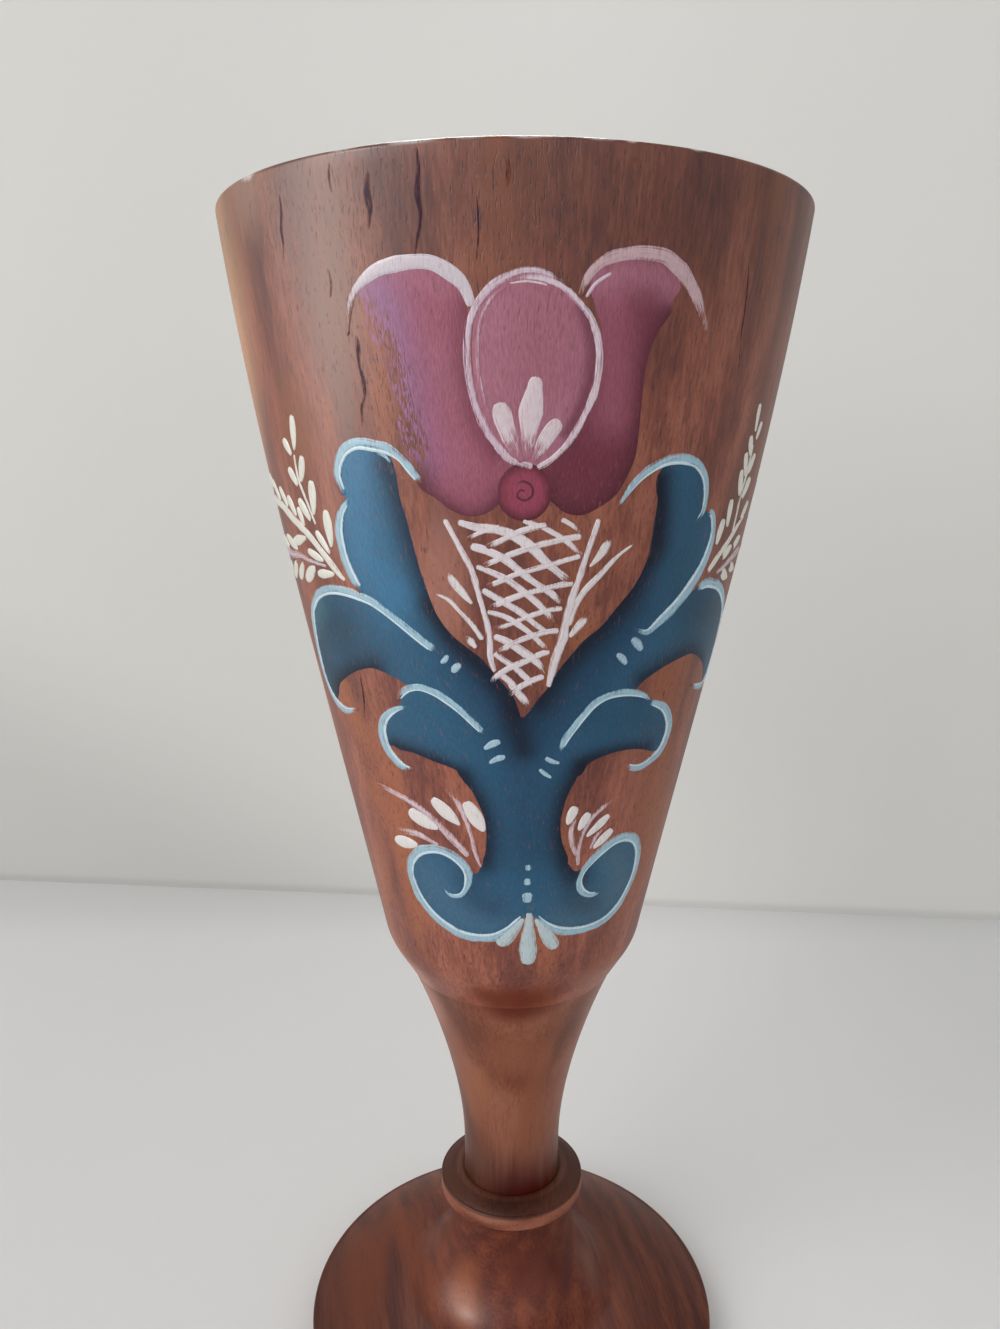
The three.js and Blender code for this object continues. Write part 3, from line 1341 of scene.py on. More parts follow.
@dataclass
class Tulip:
    """The large plum tulip: two outer petals, a round middle petal, three white dabs and a ball."""

    finish: BrushedPaint
    white: BrushedPaint
    ball: Spot = (1.4, 160.1)
    ball_radius: float = 3.7
    ball_steps: int = 9
    ball_ground: Paint = (146, 60, 82)
    ball_rim: Paint = (84, 18, 36)
    ball_lift: float = 0.07
    ball_columns: int = 14

    petals: tuple[Patch, ...] = (
        Patch(
            (
                (-12.5, 187), (-15.6, 186.7), (-18.9, 185.9), (-20, 184.2), (-19.6, 182), (-18.8, 179.6),
                (-17.8, 177), (-16.6, 174.4), (-15.6, 170), (-14.7, 166.5), (-13.8, 163), (-12.4, 160.4),
                (-10.3, 159.1), (-8.2, 157.6), (-5.9, 156.9), (-3.6, 157.3), (-1.8, 158.6),
            ),
            (
                (-12.5, 187), (-9.9, 186.7), (-8, 185.8), (-6.4, 184.4), (-5.5, 182.9), (-5, 180),
                (-5.2, 176.5), (-4.6, 172.5), (-3.6, 169), (-1.9, 166), (-0.3, 164.2), (0.2, 162),
                (-0.4, 160), (-1.8, 158.6),
            ),
            Ground(PLUM, (
                Glaze(ROSE, ((-9.5, 176), (-7.5, 170), (-7.5, 164)), 3.4, 0.3),
                Glaze(ROSE, ((-12, 186), (-8.5, 184.5)), 2.0, 0.35),
                # a lilac band along the left petal's left side: partly a lighter tint of the paint, partly
                # painted sheen of the window over the plum
                Glaze(
                    LILAC,
                    ((-17.6, 184.6), (-16, 181), (-14.8, 176), (-13.8, 170), (-12.8, 164)),
                    3.2,
                    0.8,
                ),
                Glaze(MAROON, (
                    (-12.6, 162), (-11.2, 159.4), (-9, 157.6), (-6, 156.2), (-3, 156.8), (-0.4, 159.4),
                ), 2.1, 0.95),
                Glaze(
                    DEEP_PLUM,
                    ((-5.6, 182), (-6, 178), (-5.8, 174), (-4.6, 169), (-2.2, 165.2)),
                    1.6,
                    0.6,
                ),
            )),
            dry_line=((-20.8, 181), (-19, 179), (-17.2, 176), (-16, 171), (-15, 167), (-14.4, 164.6)),
            lift=0.03,
        ),
        Patch((
            (14.4, 188), (11.8, 187.3), (9.8, 186), (8.8, 184.3), (9.6, 182), (10.6, 179), (10.6, 175.5),
            (10, 172), (8.6, 168.9), (6.7, 166), (4.4, 164), (3.2, 162.5), (3.6, 160.2), (5, 158.8),
        ), (
            (14.4, 188), (17, 188), (19.4, 187.2), (21.3, 185.6), (21.5, 184.4), (20.6, 183.4),
            (20.4, 181.9), (19.7, 180.9), (18.5, 179.5), (17.6, 177.6), (17.1, 175.8), (16.85, 173.5),
            (16.7, 171.2), (16.6, 168.9), (16.5, 166.5), (16.2, 164.2), (15.3, 162.1), (13.8, 159.6),
            (11.5, 158), (9.1, 157), (6.8, 157.4), (5, 158.8),
        ), Ground(DEEP_PLUM, (
            Glaze(PLUM, ((11.8, 184), (12.4, 178), (12.4, 170)), 3.2, 0.85),
            Glaze(ROSE, ((10, 184.8), (13.5, 186), (17.5, 185.8), (20.4, 184.6)), 2.4, 0.75),
            Glaze(MAROON, ((20, 181.4), (17.8, 176.5), (17, 170), (16.6, 165)), 1.4, 0.9),
            Glaze(MAROON, ((16.4, 163.5), (14, 159.4), (9.5, 156.8), (5.4, 157.8), (3.8, 160)), 1.9, 1.0),
        )), lift=0.03),
        Patch((
            (2.4, 163.2), (-0.3, 164.4), (-2.6, 166.7), (-3.8, 169), (-4.7, 171.5), (-5.2, 174.6),
            (-5.3, 178), (-4.8, 181.2), (-3.2, 183.4), (-1.2, 184.9), (2.4, 185.7),
        ), (
            (2.4, 163.2), (4.6, 164.3), (6.8, 166.2), (8.6, 169), (9.9, 172.2), (10.5, 175.3),
            (10.5, 178), (9.6, 180.8), (7.9, 182.7), (5.5, 184.7), (2.4, 185.7),
        ), Ground((158, 96, 114), (
            Glaze((168, 110, 130), ((-2.5, 181), (-3.4, 176), (-2.6, 172)), 3.0, 0.6),
            Glaze((168, 112, 130), ((0.4, 166), (3, 165.6), (5.5, 169)), 3.0, 0.5),
            Glaze((104, 42, 64), (
                (8.2, 182), (9.3, 179), (9.6, 176), (9.2, 173), (8.1, 170), (6.6, 167.4),
            ), 0.75, 0.85),
        )), lift=0.05),
    )
    strokes: tuple[Stroke, ...] = (
        Stroke((
            (-21.7, 179.2, 0.5), (-21, 183, 1), (-19.7, 184.9, 1.3), (-17.1, 186.4, 1.9),
            (-14.8, 186.9, 1.9), (-12.1, 187.1, 1.8), (-9.9, 186.9, 1.8), (-8, 186, 1.9),
            (-6.2, 184.6, 1.7), (-5.3, 182.9, 1.3), (-5, 181.8, 0.9),
        ), (203, 191, 199), load=0.96, lift=0.13, dry_start=7, rim=0.15),
        Stroke((
            (7.9, 183, 0.6), (8.8, 185.2, 1), (10.3, 186.8, 1.3), (12, 187.6, 1.6), (14.4, 188.1, 1.7),
            (16.7, 188.2, 1.9), (18.8, 188, 2.1), (20.3, 187.2, 2.3), (21.7, 186.3, 2.2), (23, 185, 2),
            (24.1, 183.6, 1.7), (25, 182, 1.4), (25.8, 180.4, 1.2), (26.1, 178.8, 0.8),
            (26.3, 177.8, 0.4),
        ), (196, 165, 171), load=0.93, lift=0.12, dry_start=2, dry_end=7),
        Stroke(((8.6, 182.9, 0.4), (9.8, 184.6, 0.5), (11.8, 185.9, 0.4)), (212, 190, 204), lift=0.1),
        Stroke((
            (2.6, 163.2, 0.9), (0.9, 163.7, 1), (-0.6, 164.3, 1.1), (-2.6, 166.6, 1.1), (-3.9, 169, 1),
            (-4.8, 171.3, 0.9), (-5.3, 173.6, 0.9), (-5.5, 176, 0.8), (-5.5, 178.2, 0.8),
            (-5.3, 180.1, 0.9), (-4.6, 181.8, 1.1), (-3.5, 183.3, 1.2), (-2, 184.6, 1.2),
            (-0.2, 185.5, 1.1), (1.6, 185.9, 1), (3.4, 185.7, 0.8), (5.2, 185, 0.6), (6.8, 184, 0.4),
        ), (206, 184, 198), load=0.85, lift=0.12, dry_end=3),
        Stroke((
            (-2.2, 165.4, 0.3), (-3.4, 167, 0.5), (-4.5, 169.4, 0.55), (-5.3, 172, 0.5), (-5.9, 175, 0.4),
            (-6, 178, 0.35), (-5.7, 180.6, 0.3),
        ), (198, 170, 188), load=0.8, lift=0.09, dry_start=2, dry_end=3),
        Stroke((
            (-0.6, 184.6, 0.4), (1.2, 185.1, 0.7), (3, 185.1, 0.9), (4.6, 184.7, 1), (6, 184, 1),
            (7.2, 183, 1), (8.3, 182, 1), (9.2, 181, 1.1), (9.9, 179.6, 1.2), (10.4, 178, 1.2),
            (10.6, 176.2, 1.1), (10.5, 174.4, 1.1), (10.2, 172.6, 1.1), (9.6, 171, 1.1), (8.8, 169.3, 1),
            (7.8, 167.6, 1), (6.7, 166, 1), (5.4, 164.7, 0.9), (4.1, 163.7, 0.9), (2.8, 163.1, 0.8),
        ), (216, 196, 206), load=0.87, lift=0.12, dry_start=2.5),
        Stroke(even((
            (-0.8, 184.2), (-2.6, 182.8), (-3.8, 180.8), (-4.3, 178), (-4.2, 174.5), (-3.6, 171.5),
            (-2.6, 168.6),
        ), 0.6), (204, 178, 192), load=0.7, lift=0.1, dry_start=3, dry_end=3),
        Stroke(even(((-0.6, 184.5), (1.8, 184.7), (4.2, 184.3)), 0.35), PINK_WHITE, load=0.9, lift=0.13),
        Stroke((
            (-1.8, 171.2, 2.2), (-1.3, 169.2, 2.9), (-0.6, 167.2, 2.5), (0.3, 165.4, 1.8),
            (1.2, 163.6, 0.9),
        ), PINK_WHITE, load=0.9, lift=0.15, dry_end=5, rim=0.15),
        Stroke(
            ((2.8, 174.2, 1.9), (2.5, 172, 3), (2.1, 169.6, 3.1), (1.9, 167, 2.2), (1.8, 164, 1.1)),
            PINK_WHITE,
            load=0.93,
            lift=0.16,
            dry_end=4,
            rim=0.1,
        ),
        Stroke(
            ((6, 168.9, 1.5), (5, 168, 2.3), (4, 166.6, 2.2), (3.2, 165.2, 1.6), (2.4, 163.8, 0.9)),
            PINK_WHITE,
            load=0.93,
            lift=0.15,
            dry_end=3,
            rim=0.1,
        ),
        Stroke((
            (0.4, 161.1, 0.3), (1.2, 161.5, 0.45), (2.3, 160.9, 0.5), (2.4, 159.7, 0.5),
            (1.4, 159.1, 0.5), (0.5, 159.6, 0.45), (0.9, 160.4, 0.4), (1.7, 160.1, 0.3),
        ), (92, 26, 46), load=0.9, lift=0.1),
    )

    def ball_patch(self) -> Patch:
        """The ball: a disc between two half circles, darker at its rim."""
        turn = np.linspace(-pi / 2, pi / 2, self.ball_steps)
        spots = np.array(self.ball) + self.ball_radius * np.column_stack([np.cos(turn), np.sin(turn)])
        right = as_rows(spots)
        left = mirrored(right, self.ball[0])
        ground = Ground(self.ball_ground, (Glaze(self.ball_rim, left + right[::-1], 1.0),))
        return Patch(left, right, ground, lift=self.ball_lift, columns=self.ball_columns)

    def build(self, easel: Easel) -> list[Piece]:
        """Paints the petals and the ball, and then the pale strokes."""
        return [
            paint_piece("tulip_petals", easel, self.finish, [*self.petals, self.ball_patch()], []),
            paint_piece("tulip_strokes", easel, self.white, [], self.strokes),
        ]


@dataclass
class Lattice:
    """The white lattice cone under the tulip, with small leaves at its sides."""

    finish: BrushedPaint
    paint: Paint = (222, 212, 216)
    leaf_paint: Paint = (222, 214, 214)
    bar_width: float = 1.12  # a factor on the widths of all bars

    rails: tuple[Pull, ...] = (
        (
            (-9, 156.7, 0.8), (-8.1, 155, 0.8), (-6.8, 152.5, 0.9), (-5.4, 149.7, 0.9),
            (-4.7, 147.2, 0.8), (-4, 144.6, 0.8), (-3.35, 142.1, 0.9), (-3.1, 140, 0.9), (-3, 137.7, 0.9),
            (-2.4, 135.6, 0.6),
        ),
        (
            (11.3, 156.8, 0.8), (10.8, 155, 0.8), (9.8, 152, 0.9), (8.9, 149, 1), (8, 146.3, 1.2),
            (7.1, 142.3, 1.2), (6.8, 140.5, 1.4), (5.9, 137.7, 1.5), (5.2, 134.7, 1), (4.9, 133.3, 0.7),
        ),
    )
    falling: tuple[Pull, ...] = (
        (
            (-7.3, 156.3, 0.7), (-4.7, 155.6, 1), (-2, 155.3, 1.1), (0.35, 154.4, 1.3), (2.7, 152.7, 1.3),
            (4.5, 150.9, 1.1), (6.4, 149.3, 1), (8, 148.1, 0.7),
        ),
        (
            (-5.7, 153.2, 1), (-3.35, 152.5, 1.2), (-1, 151.35, 1.1), (1.05, 149.7, 1), (3.1, 148.1, 0.9),
            (5.2, 146.7, 0.9), (6.8, 144.9, 0.7),
        ),
        (
            (-5, 150.5, 0.6), (-2.9, 149.7, 0.8), (-1, 148.8, 0.9), (0.35, 147.9, 0.9), (2.7, 146, 0.9),
            (4.5, 144.2, 0.8), (5.9, 142.5, 0.6),
        ),
        ((-4.2, 147.4, 0.9), (-1.5, 145.8, 0.9), (0.8, 144.4, 0.9), (3.1, 142.5, 0.8), (5.7, 140.5, 0.6)),
        (
            (-3.6, 144.3, 0.7), (-1.5, 143.8, 0.8), (0.35, 142.8, 0.8), (2.2, 141.4, 0.7),
            (3.8, 139.8, 0.7), (5, 138.6, 0.6),
        ),
        ((-2.7, 140.9, 1), (-0.6, 140, 1.1), (1.7, 138.4, 1.1), (3.6, 136.8, 0.9), (4.5, 135.1, 0.7)),
        ((-2.7, 138.6, 0.7), (-1.3, 137.5, 0.8), (0.35, 136.3, 0.8), (2, 134.7, 0.8), (3.4, 133.3, 0.7)),
        ((-2.2, 135.7, 0.9), (-0.6, 134.5, 1), (0.8, 132.6, 1.1), (2, 131, 1), (2.55, 130.2, 0.7)),
        (
            (1.05, 156.6, 0.7), (2.7, 156, 0.7), (4.3, 155.4, 0.7), (6.8, 153.9, 0.8), (8.2, 152.7, 0.7),
            (9.4, 151.6, 0.6),
        ),
        ((6.1, 156.7, 0.7), (7.8, 155.75, 0.7), (9.1, 154.6, 0.6)),
    )
    climbing: tuple[tuple[tuple[Spot, ...], float], ...] = (
        (((-6.1, 153.9), (-4.5, 154.8), (-1.5, 155.8)), 0.6),
        (((-3.6, 152.9), (-1.5, 153.9), (0.8, 155), (2.7, 155.6), (4.5, 155.9)), 0.8),
        (((-4, 150.4), (-2, 151.35), (0.35, 152.3), (3.1, 153.2), (6.4, 154), (9.1, 154.4)), 0.8),
        (((-3.6, 147.65), (-1, 148.8), (0.35, 149.4), (3.1, 150.2), (6.4, 151.1), (9.1, 151.8)), 0.7),
        (((-3.1, 144.75), (-1, 145.8), (1.3, 146.7), (4, 147.4), (6.8, 148), (8.2, 148.1)), 0.8),
        (((-2.7, 141.9), (-0.6, 142.5), (1.7, 143.5), (4.5, 144.4), (6.8, 144.75)), 0.7),
        (((-2.2, 138.4), (-0.1, 139.8), (2.2, 140.8), (4.5, 141.4), (6.4, 141.6)), 0.8),
        (((-2.9, 134), (-2.4, 134.9), (-0.8, 136.1), (1.3, 137.1), (3.6, 138.2), (5.2, 138.7)), 0.9),
        (((-0.6, 132.1), (0.8, 133.4), (2.7, 134.45), (4.5, 135.1)), 0.9),
    )
    sides: tuple[Pull, ...] = (
        ((-8.7, 149.6, 0.7), (-7.9, 148.3, 1.4), (-6.8, 146.9, 1.1), (-5.3, 145.2, 0.4)),
        ((-6.3, 140.8, 0.9), (-5.7, 140, 1.2), (-4.9, 139.1, 0.6)),
        (
            (-10.6, 146.6, 0.25), (-8.7, 145.8, 0.6), (-7.1, 144.2, 0.7), (-5.4, 142.3, 0.8),
            (-4, 140.2, 0.8),
        ),
        ((13.1, 154, 0.7), (12.3, 152.8, 1.4), (11.3, 151.4, 0.9), (10.1, 150.2, 0.25)),
        ((10.2, 143.6, 0.6), (9.2, 142.4, 1.3), (7.6, 140.5, 0.5)),
        (
            (16.6, 153.2, 0.3), (14.2, 151.6, 0.6), (11.9, 149.3, 0.9), (9.8, 147.2, 1),
            (8.6, 145.3, 0.9), (7.5, 142.1, 0.8),
        ),
    )

    def build(self, easel: Easel) -> list[Piece]:
        """Paints the cone: falling bars, climbing bars over them, then the rails and leaves."""
        strokes = [
            Stroke(widened(path, self.bar_width), self.paint, load=0.93, lift=0.08, dry_end=2)
            for path in self.falling
        ]
        strokes += [
            Stroke(even(path, self.bar_width * width), self.paint, load=0.9, lift=0.1, dry_start=1.5)
            for path, width in self.climbing
        ]
        strokes += [Stroke(path, self.paint, load=0.92, lift=0.12) for path in self.rails]
        strokes += [
            Stroke(path, self.leaf_paint, load=0.92, lift=0.12, dry_start=0.8) for path in self.sides
        ]
        return [paint_piece("lattice_cone", easel, self.finish, [], strokes)]


@dataclass
class Leaves:
    """The blue scrolls: a trunk with two volutes at its foot, and three lobes on each side."""

    finish: BrushedPaint
    white: BrushedPaint
    edging: Paint = (158, 192, 208)
    bright: Paint = (206, 224, 232)
    comma_paint: Paint = (168, 196, 212)
    drop_paint: Paint = (186, 202, 208)
    bright_share: float = 0.34  # a bright line's width, and its way off the middle, next to its outline
    first_lift: float = 0.03
    layer_lift: float = 0.004

    ground: Ground = Ground(
        BLUE,
        (
            Glaze(TEAL, ((-28, 140), (-35, 139), (-36, 134), (-33, 129.5)), 6.0, 0.85),
            Glaze((66, 112, 128), ((-33.5, 143), (-36.5, 140)), 2.2, 0.6),
            Glaze((70, 108, 134), ((-13, 101), (-10, 96.5), (-4, 94)), 4.0, 0.7),
            Glaze((74, 108, 128), ((17, 103), (18, 97.5), (9, 94.5)), 4.0, 0.7),
            Glaze(TEAL, ((30, 143), (36, 142), (41, 138), (42, 133)), 5.5, 0.8),
            Glaze(TEAL, ((13, 128), (20, 127), (24, 124.5)), 4.0, 0.45),
            Glaze(TEAL, ((28, 160), (27, 154), (24, 148)), 4.0, 0.35),
            # the painter's lighter blue along the left branch's outer edge, partly painted light of the
            # window
            Glaze(LIT_BLUE, ((-22, 164), (-22.5, 158), (-21, 151), (-17, 146)), 4.2, 0.75),
            Glaze(DEEP_BLUE, ((1.4, 126), (2.2, 118), (2.2, 108)), 5.0, 0.5),
            Glaze(DEEP_BLUE, ((-6, 137), (-2, 131), (1.4, 127), (6, 130), (12, 137), (17, 144)), 4.4, 0.7),
            Glaze(NAVY, ((-17, 163.5), (-15.6, 160), (-14.2, 155), (-13, 151), (-11.4, 146)), 2.0, 0.75),
            Glaze(NAVY, ((-11, 144.5), (-8.5, 140.6), (-5, 137.4), (-2, 133.8), (0.6, 130)), 2.0, 0.95),
            Glaze(NAVY, ((19.9, 161.5), (20.4, 157), (20.2, 153.5)), 2.6, 1.0),
            Glaze(NAVY, ((19.2, 151), (16.5, 146.6), (12, 141.6), (7.2, 136.6), (3.6, 131.4)), 2.5, 0.95),
            Glaze(NAVY, ((0.2, 129.4), (1.5, 124)), 2.0, 0.8),
            Glaze(NAVY, ((-31, 129), (-29.4, 130.9), (-25.5, 133.1), (-21.3, 134.4)), 2.7, 0.95),
            Glaze(NAVY, ((-18.4, 122.8), (-15, 122.2), (-11, 121.2), (-7.6, 119.6)), 1.6, 0.9),
            Glaze(NAVY, ((-7, 118.4), (-5, 115), (-4, 110), (-4.3, 105.2)), 2.1, 0.9),
            Glaze(NAVY, ((10.4, 120.4), (8.4, 116.5), (7.5, 111), (8.2, 105.6), (9.6, 102.6)), 2.4, 0.95),
            Glaze(NAVY, ((21.5, 121.8), (17, 122.3), (13, 121.9), (10.4, 120.6)), 1.7, 0.9),
            Glaze(NAVY, ((20, 133), (25, 134.9), (30, 135.6), (34.5, 133.8)), 2.4, 0.9),
            Glaze((26, 50, 80), ((-6.4, 102.4), (-5.8, 98.6), (-3, 97)), 2.4, 0.45),
            Glaze((26, 50, 74), ((10, 102), (9.6, 98), (12.5, 96.4)), 2.6, 0.5),
        ),
    )

    left_branch: Edges = (
        (
            (1.3, 128.4), (-4, 132.5), (-9, 137), (-12.7, 139.8), (-15.3, 141.7), (-18, 143.5),
            (-20.7, 144.8), (-22.7, 146.1), (-23.9, 147.8), (-25.2, 150.3), (-25.9, 153.5),
            (-25.5, 156.5), (-24.2, 158.8), (-24.7, 160.2), (-25.2, 162.3), (-24.8, 163.9),
            (-23.5, 165.4), (-21.4, 166.2), (-19.1, 166), (-17.6, 165.3),
        ),
        (
            (1.3, 128.4), (0.35, 131.7), (-0.8, 133.5), (-2.4, 135.4), (-4, 137.5), (-6.3, 139.3),
            (-8.3, 141), (-10.2, 143.7), (-11.5, 147.3), (-12.7, 151.3), (-13.7, 155.3), (-14.8, 159),
            (-15.4, 162.5), (-16.2, 164.4), (-17.6, 165.3),
        ),
    )
    left_middle: Edges = (
        (
            (1, 129), (-4, 134), (-7.8, 136.8), (-10.7, 138.5), (-12.7, 139.8), (-15.3, 141.7),
            (-18, 143.5), (-20.7, 144.8), (-23.3, 145.5), (-26, 145.9), (-28.7, 145.9), (-31, 145.5),
            (-33.7, 144.5), (-35.3, 143.3), (-36.7, 141.7), (-37.3, 139.3), (-37.4, 136.5), (-37.2, 133),
            (-36, 130), (-34, 128), (-32.6, 127.3),
        ),
        (
            (1, 129), (-2, 126.5), (-6, 128.5), (-10, 131.3), (-15.3, 132.7), (-16.7, 133.3),
            (-18.7, 134), (-21.3, 134.5), (-23.7, 134), (-26.3, 133), (-28.7, 131.7), (-30.3, 130.7),
            (-31.3, 129), (-32.6, 127.3),
        ),
    )
    left_lower: Edges = (
        (
            (1, 126), (-3.8, 127.4), (-7.3, 130.1), (-11.3, 132.5), (-13.3, 132.9), (-15, 132.5),
            (-16.3, 131.7), (-17.2, 129.6), (-18.7, 128.3), (-20, 127), (-20.6, 125.3), (-20.3, 123.4),
            (-19.3, 122.7),
        ),
        (
            (1, 126), (-1, 119), (-5, 118), (-6.7, 119.3), (-8.7, 120.3), (-11, 121), (-13.3, 121.7),
            (-15.3, 122.2), (-17.3, 122.3), (-18.5, 122.8), (-19.3, 122.7),
        ),
    )
    right_branch: Edges = (
        (
            (1.5, 128.4), (2.4, 130), (3.6, 131.9), (4.75, 133.3), (6.1, 135.8), (7.8, 137.9), (9.6, 140),
            (12.2, 142.1), (14.5, 144.8), (16.9, 147.6), (18.6, 151), (19.3, 155.2), (19.7, 158.7),
            (19.3, 161.2), (20.2, 163), (22, 164),
        ),
        (
            (1.5, 128.4), (7, 132.5), (12, 136.5), (17.3, 140.8), (20, 140.8), (21.7, 141.7),
            (23.3, 142.7), (25.3, 144.2), (27.3, 146), (29, 147.7), (30.5, 149.7), (31.5, 151.7),
            (32, 153.7), (31.6, 155.6), (30, 157), (28.9, 157.8), (29, 160), (28.3, 162), (26.7, 163.5),
            (24.3, 164.2), (22, 164),
        ),
    )
    right_middle: Edges = (
        (
            (1.6, 129), (5, 133), (9.5, 138.4), (14, 141.6), (18.5, 142), (22.5, 143), (26, 144.8),
            (29.3, 146.2), (32, 146.9), (34.7, 146.6), (36.7, 146), (38.7, 145), (40.4, 143.7),
            (42.5, 141), (43.5, 138), (43.3, 134.5), (41.5, 131.2), (39.2, 129.7),
        ),
        (
            (1.6, 129), (4, 125), (8, 125.6), (12, 128), (16, 130.6), (18.7, 132), (20, 133),
            (22.7, 134.2), (25.3, 135), (28, 135.5), (30, 135.7), (32, 135.2), (34, 134.3), (36, 133),
            (37, 131.7), (38, 130.2), (39.2, 129.7),
        ),
    )
    right_lower: Edges = (
        (
            (2, 126), (6.6, 124.6), (8.7, 127.2), (10, 128.8), (11.7, 130.6), (13.7, 131.6), (16, 131.9),
            (18.3, 131.6), (20.3, 130.9), (22, 129.8), (24.7, 128.3), (26.3, 126.3), (26.8, 124.3),
            (26.3, 122.3), (24.5, 121),
        ),
        (
            (2, 126), (5, 118.5), (9.7, 119), (11, 120.8), (13.3, 121.8), (16, 122.3), (19, 122.2),
            (21.3, 121.7), (23, 121.1), (24.5, 121),
        ),
    )
    trunk: Edges = (
        (
            (2, 101), (-2.2, 102), (-4.6, 104.4), (-4.2, 107.1), (-4.05, 109.8), (-4.3, 112.6),
            (-5.2, 115), (-6.2, 117.1), (-7.9, 119.2), (-8.4, 121), (-6, 125), (-2.6, 128), (1.3, 129),
        ),
        (
            (2, 101), (6, 102), (8.8, 104.6), (7.8, 108.1), (7.4, 110.9), (7.7, 113.7), (8.5, 116.4),
            (9.8, 118.9), (10.4, 121), (8.5, 125), (5.2, 128), (1.3, 129),
        ),
    )
    volutes: Edges = (
        (
            (-17.1, 101.2), (-16.8, 103.2), (-15.2, 105.2), (-13.2, 106.3), (-11.1, 106.5), (-9, 105.8),
            (-7.4, 104.5), (-6.2, 103.2), (-5.2, 103.4), (-4.4, 105), (-2, 106.3), (2, 107), (6.4, 106.3),
            (8.3, 105), (9.5, 103.3), (10.5, 103.1), (11.5, 103.6), (12.9, 104.9), (14.6, 106.1),
            (16.7, 107.1), (19.1, 107.2), (21.2, 106.1), (22.4, 103.9), (22.7, 101.5),
        ),
        (
            (-17.1, 101.2), (-16.5, 98.7), (-15.2, 96.3), (-13.2, 94.2), (-10.7, 92.5), (-7.9, 91.4),
            (-5.2, 91.2), (-2.7, 91.6), (-0.6, 92.8), (1.2, 94.8), (2.5, 96), (3.8, 95), (5.6, 93.5),
            (7.7, 92.3), (10.5, 91.8), (13.2, 91.8), (16, 92.5), (18.8, 94.2), (20.9, 96.7), (22.1, 99.1),
            (22.7, 101.5),
        ),
    )

